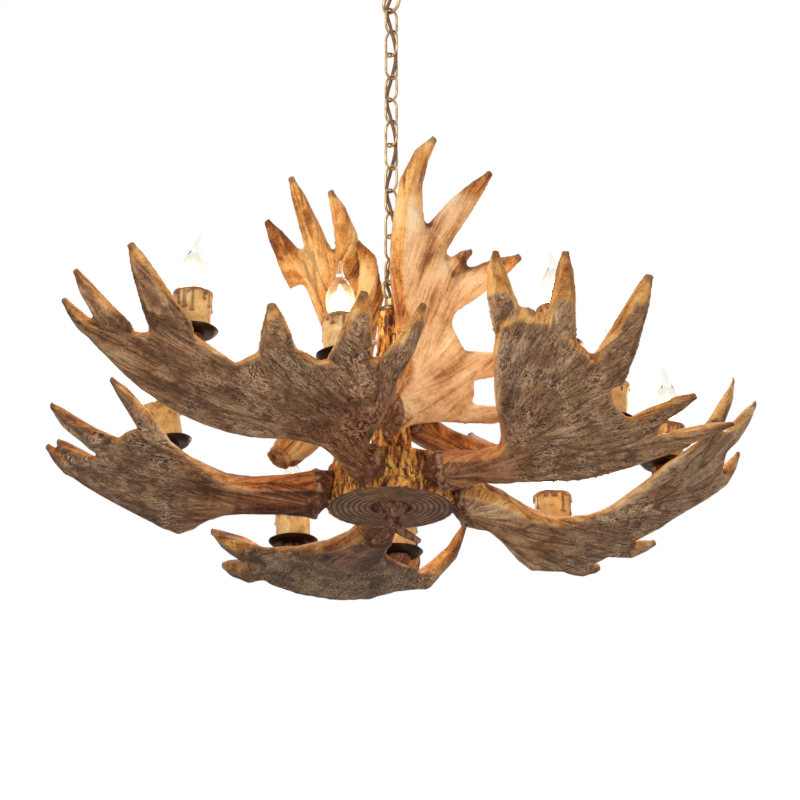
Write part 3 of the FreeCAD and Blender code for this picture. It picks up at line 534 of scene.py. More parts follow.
def antler_material():
    """Resin cast from antler: grain, curled felt lines, veins and stains that follow the fibres, with painted
    lamplight on faces turned up or toward the hub and painted shade in its hollows.
    """
    g = Graph("antler")
    point = g.position()
    share = g.attribute("fibre_share")
    marks = [g.attribute(name, "Vector") for name in ("fibre_b", "fibre_a")]

    def strands(scale, detail, rough):
        """Noise drawn out along the fibres."""
        return g.blend(share, *(g.noise(mark, scale, detail, rough) for mark in marks))

    def curls(scale, twist):
        """Thin curling lines that run with the fibres."""
        lines = []
        for mark in marks:
            drift = g.node("ShaderNodeVectorMath", {"operation": "MULTIPLY_ADD"})
            for socket, value in zip(drift.inputs, (point, (150.0,) * 3, g.stretch(mark, (0.55,) * 3))):
                g.put(socket, value)
            value = g.noise(drift.outputs[0], scale, 3, 0.6, twist)
            lines.append(g.span(g.math("ABSOLUTE", g.less(value, 0.5)), 0.06, 0.008))
        return g.blend(share, *lines)

    def around(value, weight):
        """Noise taken about its middle."""
        return g.times(g.less(value, 0.5), weight)

    fine, broad = strands(0.62, 5, 0.62), strands(0.15, 3, 0.5)
    patch = g.noise(point, 17.0, 5, 0.6, 0.6)
    speck = g.noise(point, 620.0, 3, 0.7)
    mottle = g.noise(point, 90.0, 5, 0.65, 1.0)
    felt, seam = curls(0.5, 1.5), curls(0.28, 0.9)
    warm, burr, tip, rim, ridge, root, tan, hairy, vein, tone, flute = map(
        g.attribute, ("warm", "burr", "tip", "rim", "ridge", "root", "tan", "felt", "vein", "tone", "flute"))

    strand = g.weighted((fine, 0.68), (broad, 0.32))
    for value, weight in ((speck, 0.3), (mottle, 0.3), (patch, 0.34)):
        strand = g.add(strand, around(value, weight))
    strand = g.add(strand, g.add(tone, g.times(flute, 0.15)))
    # the first ramp is the grey-brown of the undersides; the second is the resin's orange, made brighter as
    # painted lamplight from the candles
    dull = g.ramp(strand, (0.31, (0.016, 0.005, 0.002)), (0.42, (0.07, 0.024, 0.008)),
                  (0.51, (0.195, 0.077, 0.028)), (0.6, (0.38, 0.19, 0.086)), (0.72, (0.63, 0.4, 0.22)))
    orange_tint_and_lamplight = g.ramp(strand, (0.31, (0.06, 0.013, 0.003)), (0.42, (0.23, 0.062, 0.011)),
                  (0.51, (0.48, 0.185, 0.038)), (0.6, (0.72, 0.35, 0.095)), (0.72, (0.9, 0.58, 0.24)))
    fawn = g.ramp(strand, (0.28, (0.2, 0.08, 0.03)), (0.4, (0.45, 0.22, 0.092)),
                  (0.51, (0.67, 0.4, 0.2)), (0.62, (0.79, 0.54, 0.315)), (0.76, (0.87, 0.69, 0.47)))
    red = g.ramp(g.weighted((mottle, 0.5), (g.noise(point, 330.0, 4, 0.65), 0.5)),
                 (0.38, (0.02, 0.005, 0.003)), (0.5, (0.11, 0.03, 0.013)), (0.64, (0.3, 0.115, 0.05)))
    pale = g.ramp(strand, (0.32, (0.28, 0.125, 0.05)), (0.52, (0.52, 0.31, 0.145)),
                  (0.72, (0.76, 0.57, 0.35)))

    worn = g.span(g.noise(point, 34.0, 3, 0.5, 0.5), 0.38, 0.6, 0.35, 1.0)
    dull = g.coats(dull, (g.times(hairy, 0.4), (0.165, 0.068, 0.028)),
                   (g.times(g.blend(hairy, 0.35, 0.95), seam), CRACK_SHADE),
                   (g.times(g.times(g.blend(hairy, 0.2, 1.0), worn), felt), FELT_SHADE))
    # painted lamplight: the lit orange is laid over the grey-brown where the warm tint and painted candle
    # light are strong
    tint_and_lamplight_share = g.span(g.add(warm, around(patch, 0.8)), 0.22, 0.78)
    fair = g.span(g.add(tan, around(patch, 0.5)), 0.25, 0.75)
    shade = g.coats(dull, (tint_and_lamplight_share, orange_tint_and_lamplight), (fair, fawn))
    shade = g.mix(g.times(root, 0.85), shade, g.mix(1.0, shade, (0.62, 0.33, 0.2), "MULTIPLY"))
    toothed = g.times(g.span(g.add(burr, around(mottle, 0.6)), 0.3, 0.8), 0.95)
    tipped = g.times(g.span(g.add(tip, around(mottle, 0.5)), 0.1, 0.9), 0.66)
    calm = g.less(1.0, g.times(hairy, 0.4))
    crest = g.times(calm, g.span(ridge, 0.1, 0.9, 0.0, 0.42))
    # painted shade: concave hollows darkened toward near black, as shade falls in them
    hollow_painted_shade = g.times(calm, g.span(ridge, -0.1, -0.9, 0.0, 0.72))
    veined = g.span(g.add(vein, around(fine, 0.8)), 0.45, 0.95, 0.0, 0.5)
    pitted = g.span(speck, 0.36, 0.3, 0.0, 0.55)
    shade = g.coats(shade, (toothed, red), (tipped, (0.105, 0.036, 0.013)), (crest, pale),
                    (hollow_painted_shade, (0.038, 0.014, 0.006)), (veined, (0.045, 0.016, 0.007)),
                    (pitted, (0.025, 0.011, 0.006)))
    height = g.add(fine, g.times(speck, 0.25))
    height = g.add(height, g.times(hairy, g.times(g.less(felt, seam), 0.3)))
    normal = g.bump(height, 1.5, 0.8, g.bump(mottle, 2.4, 0.5))
    rough = g.less(g.span(strand, 0.35, 0.7, 0.74, 0.6), g.times(rim, 0.16))
    return g.surface(Base_Color=shade, Roughness=rough, Normal=normal, Specular_IOR_Level=0.22)


def flow_skin(node, voxel, centre, axis, warmth, relief, flute, tan, tone, burr, stain, shaft):
    """Dress one antler: soft form, fibres that fan out from its burr, veins, toothed burr, tips and rims."""
    skin = Skin(even_mesh(node, voxel, 5.0))
    skin.soften(30)
    centre, axis = np.array(centre) * MM + HUB_CENTRE, np.array(axis) / np.linalg.norm(axis)
    reach = lengths(skin.points - centre)
    distance = skin.distances(np.nonzero(reach < reach.min() + 0.014)[0])
    flow = skin.flow(distance)

    # fibres: two sets of marks, half a band apart, each weighing least where its bands change
    share = 1 - np.abs(2 * ((distance / BAND) % 1) - 1)
    marks = [skin.carried(distance, flow, BAND, offset) * 1000 + (distance * 1000)[:, None] * DRIFT
             for offset in (0.0, BAND / 2)]

    def along(scale, octaves, seed):
        """Random field that runs with the fibres."""
        near_one, near_other = (cloud(mark * scale, octaves, seed) for mark in marks)
        return share * near_one + (1 - share) * near_other

    # where each point lies: before the tip, on a rim, near the burr
    left = skin.blur(skin.left_over(distance, flow), 24)
    tip = skin.blur(ease(left, 0.03, 0.0), 8)
    form = skin.points * 1000
    normal = skin.normals()
    rim = ease(skin.blur(skin.bulge(), 8), 0.045, 0.125)
    edge = skin.distances(np.nonzero((rim > 0.7) & (distance > 0.05))[0])
    level = ((skin.points - centre) @ axis) * 1000
    radial = skin.points - centre - np.outer(level / 1000, axis)
    near = ease(lengths(radial) * 1000, 48, 38)
    crown = np.exp(-(level / 5.5) ** 2) * near
    stub = ease(level, 9, 1) * near
    skin.points -= radial * ((1 - burr) * np.exp(-(level / 9) ** 2) * near)[:, None]

    # relief, in millimetres
    groove = ease(np.abs(along(0.085, 2, 5)), 0.15, 0.0)
    quiet = (1 - 0.85 * ease(left, 0.05, 0.01)) * (1 - stub) * (1 - 0.6 * rim)
    wave = along(0.085, 1, 23)
    lead = unit(skin.blur(flow, 24))
    cap = skin.blur(ease((normal * lead).sum(1), 0.0, 0.8), 8)
    teeth = crown * (1.6 + 3.8 * np.maximum(cloud(form / 5.0, 2, 11), -0.4))
    amount = 1.2 * cloud(form / 44, 2, 3)
    amount += quiet * (0.38 * relief * along(0.3, 2, 9) - 0.7 * relief * groove)
    amount += quiet * flute * wave - tip * (2.3 - 2.3 * cap) * (1 - stub)
    amount += burr * (teeth + stub * 0.8 * cloud(form / 7.0, 2, 13))
    amount += (1 - stub) * 0.16 * along(0.75, 1, 17)
    outward = unit(skin.points[:, :2])
    skin.push(skin.blur(amount, 1))

    # shares of each colour
    ridge = skin.blur(skin.bulge(), 1)
    normal = skin.normals()
    inward = -(normal[:, :2] * outward).sum(1)
    up = skin.blur(normal[:, 2], 4)
    # painted lamplight: faces turned up or toward the hub, upturned tips, the part near the burr and the
    # upper rims are made warmer, as if lit by the candles, on top of each antler's own warm tint; the pale
    # fawn gives way on those rims
    rolled = np.maximum(rim, ease(edge, 0.016, 0.004))
    edged = rolled * (1 - tan * 0.75 * ease(form[:, 0], 20, 46))
    warm = warmth[0] + warmth[1] * ease(up, -0.62, 0.3) + 0.22 * inward * warmth[1]
    warm += 0.45 * ease(left, 0.04, 0.004) * ease(up, -0.8, 0.1) + 0.22 * ease(distance, 0.12, 0.03)
    warm += 0.52 * rolled * ease(up, -0.75, 0.2)
    felt = ease(distance, shaft + 0.3, shaft + 0.1) * ease(distance, shaft, shaft + 0.05)
    felt = felt * (1 - 0.8 * rim) * (1 - tan) * (1 - ease(up, -0.1, 0.7))
    write_values(skin.mesh, fibre_a=marks[0], fibre_b=marks[1], fibre_share=share, warm=warm, rim=rim,
                 root=stain * ease(distance, 0.16, 0.04), burr=burr * np.maximum(crown, stub),
                 tip=ease(tip, 0.35, 0.95) * (1 - stub), vein=groove * quiet * (1 - 0.5 * tan),
                 ridge=np.clip(ridge / 0.3, -1, 1) * (1 - 0.7 * tip), felt=felt,
                 tan=tan * (1 - edged) * ease(left, 0.012, 0.07) - 0.6 * (1 - tan),
                 flute=wave * min(flute, 1.6), tone=np.full(skin.count, tone))
    return skin.finish()


# antler, its burr's centre (hub datum) and axis, share of warm tint and painted lamplight everywhere and of
# painted lamplight on faces turned up,
# relief of its veins and flutes, share of pale fawn colour, tone (lighter or darker), size of its burr,
# red stain near the burr, length of its bare shaft
ANTLERS = [
    ("front_left", (-26, -82, 24), (-0.91, -0.38, 0.18), (-0.1, 1.0), 1.1, 0.5, 0.0, 0.02, 1.0, 0.9, 0.0),
    ("front_right", (57, -60, 25), (1.0, 0.02, 0.09), (-0.08, 1.0), 1.1, 0.6, 0.0, 0.045, 0.85, 0.7, 0.06),
    ("rear_right", (21, 24, 120), (0.63, 0.73, -0.26), (0.3, 0.7), 1.2, 1.0, 0.0, -0.01, 0.8, 0.4, 0.12),
    ("lower_left", (-90, -17, 12), (-0.97, -0.22, -0.07), (0.04, 1.1), 1.2, 1.0, 0.0, 0.0, 1.0, 1.0, 0.13),
    ("lower_right", (89, -1, 8), (0.96, -0.18, -0.19), (0.04, 1.1), 1.2, 1.0, 0.0, 0.09, 0.9, 0.1, 0.11),
    ("lower_rear", (-14, 101, 8), (-0.17, 0.98, 0.0), (0.08, 1.1), 1.2, 1.1, 0.0, -0.03, 0.7, 0.4, 0.09),
    ("upper_front", (1, -37, 101), (0.83, 0.56, -0.03), (0.78, 0.35), 0.5, 2.3, 1.0, 0.04, 0.9, 0.0, 0.0),
    ("upper_rear", (-133, -14, 59), (0.54, 0.43, 0.73), (0.85, 0.3), 0.6, 2.0, 0.15, 0.05, 0.55, 0.0, 0.0),
]


def make_antlers():
    material = antler_material()
    voxel = 2.0
    for name, *look in ANTLERS:
        node = "antler_" + name
        place(node + "_skin", flow_skin(node, voxel, *look), material, "fixture", "antler", [node])


# ---- hub

DRUM_BARK = 7.5, 21  # size of the plates in millimetres, seed


def bark_material(name, shades, scale=1.0):
    """Flaky bark: five shades from the depths of its cracks to the crests of its plates."""
    g = Graph(name)
    grain = g.grain(80 * scale, 24 * scale, 6, 0.64, 1.2)
    flake = g.grain(140 * scale, 75 * scale, 5, 0.64, 1.8)
    fleck = g.grain(620, 300, 3, 0.7)
    value = g.weighted((grain, 0.42), (flake, 0.4), (fleck, 0.18), (g.attribute("plate"), 0.16))
    shade = g.ramp(value, *zip((0.36, 0.45, 0.52, 0.6, 0.7), shades))
    shade = g.mix(g.span(g.attribute("crack"), 0.2, 0.9, 0.0, 0.9), shade, shades[0])
    return g.surface(Base_Color=shade, Roughness=g.span(value, 0.3, 0.7, 0.85, 0.55),
                     Normal=g.bump(value, 3.2, 1.0), Specular_IOR_Level=0.3)


def bark_relief(form, cell, seed, upright):
    """Cracks (0 to 1) and plates (-1 to 1) of split bark at points in millimetres."""
    long = form / np.array([cell, cell, cell * upright])
    crack = ease(np.abs(cloud(long, 3, seed)), 0.1, 0.015)
    return crack, cloud(form / np.array([cell * 0.6, cell * 0.6, cell * 1.9]), 3, seed + 5)


def bark_skin(node, voxel, depth, passes, cell, seed, upright=4.0, facing=None, grow=0.0):
    """Split bark over a node: long upright cracks and rough plates between them."""
    skin = Skin(even_mesh(node, voxel))
    skin.soften(passes)
    form = skin.points * 1000
    normal = skin.normals()
    side = 1 - ease(np.abs(normal[:, 2]), 0.6, 0.95)
    if facing is not None:
        side = side * facing(form, normal)
    crack, plate = bark_relief(form, cell, seed, upright)
    skin.push(grow + side * depth * (1.1 * plate - 0.8 * crack))
    write_values(skin.mesh, crack=crack * side, plate=plate * side)
    return skin.finish()


def end_grain_material():
    g = Graph("end_grain")
    fibre = g.grain(700, 700, 4, 0.7)
    patch = g.noise(g.position(), 60.0, 4, 0.6)
    value = g.weighted((fibre, 0.6), (patch, 0.4))
    shade = g.ramp(value, (0.36, (0.062, 0.022, 0.008)), (0.5, (0.215, 0.09, 0.034)),
                   (0.64, (0.46, 0.235, 0.1)))
    shade = g.mix(g.span(g.attribute("ring"), 0.05, 0.95, 0.0, 0.92), shade, (0.022, 0.009, 0.004))
    return g.surface(Base_Color=shade, Roughness=0.72, Normal=g.bump(value, 1.3, 0.7))


def disc_mesh():
    """Slice of trunk: growth rings cut into its underside, bark round its edge, recess for the twig."""
    segments, recess, ring_step = 180, 24.0, 6.6
    turn = np.arange(segments) * TAU / segments
    circle = spun(1.0, turn, 0.0)
    rim = 1 + 0.011 * cloud(circle * 6.0, 3, 4) + 0.006 * cloud(circle * 24.0, 2, 8)
    wander = 1.3 * cloud(circle * 2.0, 2, 31)
    rows, grooves = [], []
    for radius in [9, 14, 19, 23.4] + [recess + 0.62 * k for k in range(82)] + [75.2, 76.4, 77.2]:
        share = ease(radius, 30, 77)
        level, groove = 5.0, np.zeros(segments)
        if radius >= recess:
            wave = (radius - 25.0 + wander * share) / ring_step
            groove = np.maximum(0.0, np.cos(TAU * wave)) * (radius < 74)
            level = 0.7 * groove + 0.25 * cloud(spun(radius, turn, 0.0) / 2.5, 2, 6)
            level = level + ease(radius, 75.0, 77.4)
        rows.append(spun(radius * (1 + (rim - 1) * share), turn, level))
        grooves.append(groove)
    for radius, level in ((77.4, 2.5), (77.4, 4.0), (77.2, 6.0), (77.2, 8.0), (77.0, 10.0), (76.2, 12.0),
                          (74.4, 13.8), (60, 14), (30, 14), (5.4, 14), (5.4, 9), (5.2, 5.0)):
        rows.append(spun(radius * rim if radius > 31 else radius, turn, level))
        grooves.append(np.zeros(segments))
    faces = grid_faces(len(rows), segments, wrap_rows=True)
    mesh = mesh_of("ring_disc_skin", np.concatenate(rows) * MM, faces, sharp=60)
    # the drum's bark runs on down over the disc's edge
    points = points_of(mesh) + HUB_CENTRE
    reach = lengths(points[:, :2])
    side = ease(reach, 0.0735, 0.075)
    crack, plate = bark_relief(points * 1000, *DRUM_BARK, 4.0)
    swell = side * (1.2 * plate - 1.2 * crack - 0.4) * MM
    points[:, :2] *= (1 + swell / np.maximum(reach, 1e-6))[:, None]
    write_values(mesh, ring=np.concatenate(grooves), crack=crack * side, plate=plate * side)
    return set_points(mesh, points)


def make_hub(metal, bronze):
    gold = bark_material("bark", [(0.04, 0.01, 0.003), (0.2, 0.06, 0.012), (0.6, 0.23, 0.038),
                                  (0.92, 0.48, 0.105), (0.98, 0.74, 0.3)], 0.8)
    twig = bark_material("twig_bark", [(0.055, 0.018, 0.009), (0.13, 0.048, 0.024), (0.24, 0.105, 0.055),
                                       (0.37, 0.19, 0.11), (0.5, 0.31, 0.2)], 1.8)
    def outside(form, normal):
        """Share of faces that look away from the axis, clear of the bore."""
        reach = lengths(form[:, :2])
        return ease((form[:, :2] * normal[:, :2]).sum(1) / reach, 0.0, 0.35) * ease(reach, 12, 15)

    # node, its bark, voxel in quick and full runs, depth, softening passes, size of the plates, seed
    for node, bark, coarse, fine, depth, passes, cell, seed, more in (
            ("hub_drum", gold, 2.6, 1.6, 1.9, 8, *DRUM_BARK, {"facing": outside}),
            ("hub_column", gold, 2.4, 1.5, 1.5, 8, 6.5, 47, {"facing": outside}),
            ("twig_finial", twig, 1.6, 1.0, 0.6, 18, 4.5, 63, {"upright": 3.0, "grow": 1.0}),
            ("candle_posts", twig, 2.4, 1.5, 0.8, 8, 5.0, 81, {"upright": 3.0})):
        skin = bark_skin(node, fine, depth, passes, cell, seed, **more)
        place(node + "_skin", skin, bark, "fixture", "bark", [node])
    grain = end_grain_material()
    disc = place("ring_disc_skin", disc_mesh(), grain, "fixture", "end_grain", ["ring_disc"]).data
    disc.materials.append(gold)
    for face in disc.polygons:
        face.material_index = int(math.hypot(face.center.x, face.center.y) > 0.0742)
    outline = rounded([(5.5, 250), (15, 250), (15, 254.5), (12.6, 256), (5.5, 256)], 0.8)
    cap = moved(lathe("column_cap_skin", outline, 64), Matrix.Translation(HUB_CENTRE))
    place("column_cap_skin", cap, bronze, "fixture", "antique_brass", ["column_cap"])


# ---- metals, chain and flex

def metal_material(name, bright, dark, rough, scale=140.0):
    """Worn metal: patina that gathers in clouds, rubbed brighter in between, with fine scratches."""
    g = Graph(name)
    point = g.position()
    patch = g.noise(point, scale, 5, 0.62, 0.4)
    fine = g.noise(point, scale * 9, 4, 0.7)
    value = g.weighted((patch, 0.72), (fine, 0.28))
    middle = tuple((a + b) / 2 for a, b in zip(bright, dark))
    shade = g.ramp(value, (0.36, dark), (0.52, middle), (0.66, bright))
    gloss = g.span(value, 0.35, 0.68, rough + 0.11, rough - 0.05)
    return g.surface(Base_Color=shade, Metallic=g.span(value, 0.3, 0.6, 0.65, 1.0), Roughness=gloss,
                     Normal=g.bump(fine, 0.35, 0.5, g.bump(patch, 0.6, 0.35)))


def link_mesh(index):
    """One link of round wire: two half-turns and straight legs, with the butt joint in one leg."""
    wire = LINK_WIRE / 2
    bend = LINK_WIDTH / 2 - wire
    leg = LINK_LENGTH / 2 - wire - bend
    path = []
    for end in (1, -1):
        for k in range(17):
            angle = math.pi * k / 16
            path.append((end * bend * math.cos(angle), 0, end * (leg + bend * math.sin(angle))))
        path.append((-end * bend, 0, 0))
    points = [Vector(point) * MM for point in path]
    mesh = tube("link", points, wire * MM, 14, closed=True)
    turn = Matrix.Rotation(math.radians(45 if index % 2 == 0 else -45), 4, "Z")
    middle = TOP_LINK_Z - index * LINK_PITCH - LINK_LENGTH / 2
    return moved(mesh, Matrix.Translation((0, 0, middle * MM)) @ turn)


def loop_mesh(name, ring_z, boss_face, azimuth):
    """Cast ring with a collar where its threaded boss grows out of it."""
    turns = [TAU * k / 64 for k in range(64)]
    ring = [Vector((13.3 * math.cos(turn), 0, ring_z + 13.3 * math.sin(turn))) * MM for turn in turns]
    side = 1 if boss_face > ring_z else -1
    inner = ring_z + side * 10.5
    outline = [(2.6, inner), (7.0, inner), (8, inner + side * 1.6), (8, boss_face - side * 1.6),
               (7.4, boss_face), (5.4, boss_face), (5.4, boss_face - side * 6.4),
               (2.6, boss_face - side * 6.4)]
    boss = lathe("boss", rounded(outline, 0.7), 48)
    whole = joined(name, [tube("ring", ring, 2.3 * MM, 16, closed=True), boss])
    return moved(whole, Matrix.Rotation(math.radians(azimuth), 4, "Z"))


def flex_points():
    """The flex's route: down the nipple, a quarter turn round the axis at every link, into the hub's rod."""
    reach = 7.4
    route = [(0, 0, -3.0), (0, 0, -30.0), (0, 0, CEILING_LOOP_Z + 6)]
    for k in range(LINK_COUNT + 1):
        angle = math.pi * (1 + 0.5 * k)
        level = TOP_LINK_Z - LINK_WIRE - LINK_PITCH * k
        route.append((reach * math.cos(angle), reach * math.sin(angle), level))
    return route + [(0, 0, HUB_LOOP_Z - 5), (0, 0, HUB_LOOP_Z - 40), (0, 0, HUB_Z + 230)]


def spline_points(route):
    """Points along the smooth line that the route controls."""
    curve = bpy.data.curves.new("route", "CURVE")
    curve.dimensions = "3D"
    curve.resolution_u = 10
    spline = curve.splines.new("NURBS")
    spline.points.add(len(route) - 1)
    for point, place_of in zip(spline.points, route):
        point.co = (place_of[0] * MM, place_of[1] * MM, place_of[2] * MM, 1)
    spline.order_u = 3
    spline.use_endpoint_u = True
    holder = stand("route", curve)
    line = bpy.data.meshes.new_from_object(holder.evaluated_get(bpy.context.evaluated_depsgraph_get()))
    points = [vertex.co.copy() for vertex in line.vertices]
    bpy.data.objects.remove(holder)
    bpy.data.curves.remove(curve)
    bpy.data.meshes.remove(line)
    return points


def make_flex():
    g = Graph("flex")
    weave = g.grain(900, 260, 3, 0.6)
    shade = g.ramp(weave, (0.35, (0.1, 0.045, 0.018)), (0.6, (0.25, 0.125, 0.05)))
    material = g.surface(Base_Color=shade, Roughness=0.55, Normal=g.bump(weave, 0.3, 0.6))
    points = spline_points(flex_points())
    # name, levels of its two ends, the two bodies it hangs between, levels where its bend starts and ends
    parts = [("a", 0.0, -0.0888, "ceiling", "top_link", -0.066, -0.082),
             ("b", -0.0888, -0.135, "top_link", "chain", -0.096, -0.112),
             ("c", -0.135, -0.378, "chain", None, 0, 0),
             ("d", -0.378, -0.425, "chain", "bottom_link", -0.402, -0.418),
             ("e", -0.425, -1.0, "bottom_link", "fixture", -0.432, -0.449)]
    for part, top, foot, upper, lower, start, end in parts:
        inside = [i for i, p in enumerate(points) if foot <= p.z <= top]
        run = points[max(inside[0] - 1, 0):inside[-1] + 2]
        mesh = tube("flex_" + part, run, 2.2 * MM, 12)
        piece = place("flex_" + part, mesh, material, None if lower else upper, "flex", ["flex"])
        if lower:
            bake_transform(piece)


def make_suspension():
    brass = metal_material("antique_brass", (0.74, 0.55, 0.29), (0.27, 0.155, 0.07), 0.34)
    bronze = metal_material("dark_bronze", (0.24, 0.145, 0.07), (0.05, 0.028, 0.016), 0.36, 60.0)
    steel = metal_material("steel", (0.62, 0.6, 0.56), (0.33, 0.31, 0.28), 0.36, 120.0)
    dome = [(64, -0.2), (64.2, -2.4), (63.4, -4.4), (60.6, -5.6), (57.4, -7.4), (53, -11.2), (48, -15.6),
            (42, -19.9), (35.4, -24), (29, -27.2), (23.4, -29.4), (19.6, -30), (12, -30), (5.4, -30),
            (5.4, -28.6), (18.8, -28.6), (28.4, -25.8), (40.8, -18.7), (47, -14.3), (52.4, -9.4),
            (58.8, -4.6), (62.4, -2.6), (62.5, -0.2)]
    collar = rounded([(5.5, -38), (11, -38), (12, -36.4), (12, -31.2), (11, -30), (5.5, -30)], 0.6)
    links = [link_mesh(k) for k in range(LINK_COUNT)]
    for node, ending, mesh, metal, body in (
            ("chain_top_link", "_wire", links[0], brass, "top_link"),
            ("chain_links", "_wire", joined("chain_links_wire", links[1:-1]), brass, "chain"),
            ("chain_bottom_link", "_wire", links[-1], brass, "bottom_link"),
            ("ceiling_loop", "_cast", loop_mesh("upper", CEILING_LOOP_Z, COLLAR_Z, -45), brass, "ceiling"),
            ("hub_loop", "_cast", loop_mesh("lower", HUB_LOOP_Z, HUB_Z + 256, 45), brass, "fixture"),
            ("canopy", "_spun", lathe("canopy_spun", dome, 120, sharp=50), bronze, "ceiling"),
            ("canopy_collar", "_turned", lathe("collar", collar, 64), brass, "ceiling")):
        place(node + ending, mesh, metal, body, "antique_brass", [node])
    for node in ("ceiling_strap", "threaded_nipple", "strap_nut", "centre_rod", "rod_nuts", "antler_screws"):
        dress(node, steel)
    g = Graph("terminal_plastic")
    grain = g.noise(g.position(), 420.0, 4, 0.6)
    cream = g.ramp(grain, (0.3, (0.62, 0.58, 0.48)), (0.7, (0.76, 0.73, 0.63)))
    dress("terminal_block", g.surface(Base_Color=cream, Roughness=0.45, Normal=g.bump(grain, 0.2, 0.4)))
    return brass, bronze


def dress(node, material):
    """Give a carried-over node its finish."""
    data = NODES[node].data
    if not data.materials:
        data.materials.append(material)
    for slot in NODES[node].material_slots:
        slot.material = material


# ---- candle lamps

CANDLE_TOP, PAN_DEPTH, DRIPS, SLEEVE_SIDES = 52, 2.4, 13, 112  # millimetres and counts


def wax_material():
    """Old wax: pale body, brown where it ran and darker towards the bottom."""
    g = Graph("wax")
    cloudy = g.noise(g.position(), 75.0, 5, 0.6, 0.5)
    fine = g.grain(430, 150, 4, 0.65)
    value = g.weighted((cloudy, 0.65), (fine, 0.35))
    body = g.ramp(value, (0.34, (0.36, 0.17, 0.045)), (0.47, (0.66, 0.38, 0.11)),
                  (0.6, (0.8, 0.54, 0.2)), (0.74, (0.85, 0.68, 0.38)))
    stain = g.ramp(value, (0.38, (0.085, 0.026, 0.007)), (0.5, (0.22, 0.085, 0.022)),
                   (0.64, (0.46, 0.22, 0.065)))
    run = g.add(g.attribute("drip"), g.times(g.less(fine, 0.5), 0.9))
    # darker towards the bottom of the sleeve, broken up by the cloudy noise
    low_darkening = g.add(g.attribute("age"), g.less(cloudy, 0.5))
    shade = g.coats(body, (g.span(run, 0.32, 0.72, 0.0, 0.92), stain),
                    (g.times(g.span(low_darkening, 0.35, 0.9), 0.55), (0.34, 0.13, 0.035)))
    return g.surface(Base_Color=shade, Roughness=g.span(value, 0.35, 0.7, 0.5, 0.34),
                     Normal=g.bump(value, 0.9, 0.5), Subsurface_Weight=0.12, Subsurface_Scale=0.004)


def sleeve_mesh(number):
    """Candle tube: brown wax run over the top and down the side in drips of unequal length."""
    rng = np.random.default_rng(100 + number)
    # angle, width and length of each drip
    drips = [(TAU * (k + rng.uniform(-0.3, 0.3)) / DRIPS, rng.uniform(0.1, 0.17),
              10 + 25 * rng.uniform(0, 1) ** 1.7) for k in range(DRIPS)]
    heights = [0.0, 0.8, 3, 6, 9, 12, 15, 18, 21, 24] + [26 + 0.9 * k for k in range(25)]
    profile = [(21.6, z) for z in heights]
    profile += [(21.5, 48.6), (21.3, 49.8), (20.7, 50.8), (19.8, 51.5), (18.6, 51.9), (17.4, 51.7),
                (16.3, 51.0), (15.7, 49.6), (15.6, 44), (15.6, 30), (15.6, 10), (15.6, 0.0)]
    marks = []

    def run(ring, index):
        turn, height = ring[:, 1], ring[:, 2]
        wet = np.zeros(len(turn))
        for middle, width, length in drips:
            gap = np.abs((turn - middle + math.pi) % TAU - math.pi) / width
            end = CANDLE_TOP - length
            head = np.exp(-((height - end - 2.2) / 2.6) ** 2) * 0.55
            drip = np.exp(-gap ** 2 * (1.25 - head)) * ease(height, end - 1.0, end + 2.4) * (0.78 + head)
            wet = np.maximum(wet, drip)
        cup = ease(height + 2.2 * np.sin(turn * 7 + number) + 1.4 * np.sin(turn * 11 + 3 * number),
                   41.5, 48.5)
        wet = np.maximum(wet, cup * 0.92)
        outer = ring[:, 0] > 18.5
        rough = cloud(spun(22, turn, height) / 5.5 + number, 2, 3)
        ring[:, 0] += np.where(outer, wet * 2.2 + 0.28 * rough - 0.15, 0.0)
        sag = 0.9 * np.sin(turn * 5 + 2 * number) * ease(height, 48, 51) * 0.5 - 0.5
        ring[:, 2] += np.where((height > 48) & (ring[:, 0] > 15.9), sag, 0.0)
        marks.append(np.where(outer, wet, 0.35))
        return ring

    mesh = lathe("candle_sleeve_%d_wax" % number, profile, SLEEVE_SIDES, shape=run, sharp=70)
    drip = np.concatenate(marks) * (0.55 + 0.45 * (rng.uniform(0, 1) > 0.2))
    # darker towards the foot of the sleeve
    age = 0.35 * ease(np.repeat([z for _, z in profile], SLEEVE_SIDES), 14, 0)
    write_values(mesh, drip=drip, age=age)
    return mesh


def pan_mesh(name):
    """Spun drip pan with a rolled, turned-up rim."""
    outline = [(5.2, -PAN_DEPTH), (14, -PAN_DEPTH), (22, -2.3), (25.2, -1.9), (27.6, -0.6), (29.4, 1.2),
               (30.5, 2.6), (31.0, 3.2), (30.9, 3.7), (30.3, 3.8), (29.5, 3.3), (28.4, 2.2), (26.6, 0.9),
               (24.4, 0.15), (20, 0.0), (5.2, 0.0)]

    def beaten(ring, index):
        if ring[0, 0] > 24:
            ring[:, 0] += 0.25 * np.sin(ring[:, 1] * 7 + index) * (ring[:, 0] - 24) / 7
        return ring

    return lathe(name, outline, 72, shape=beaten, sharp=40)


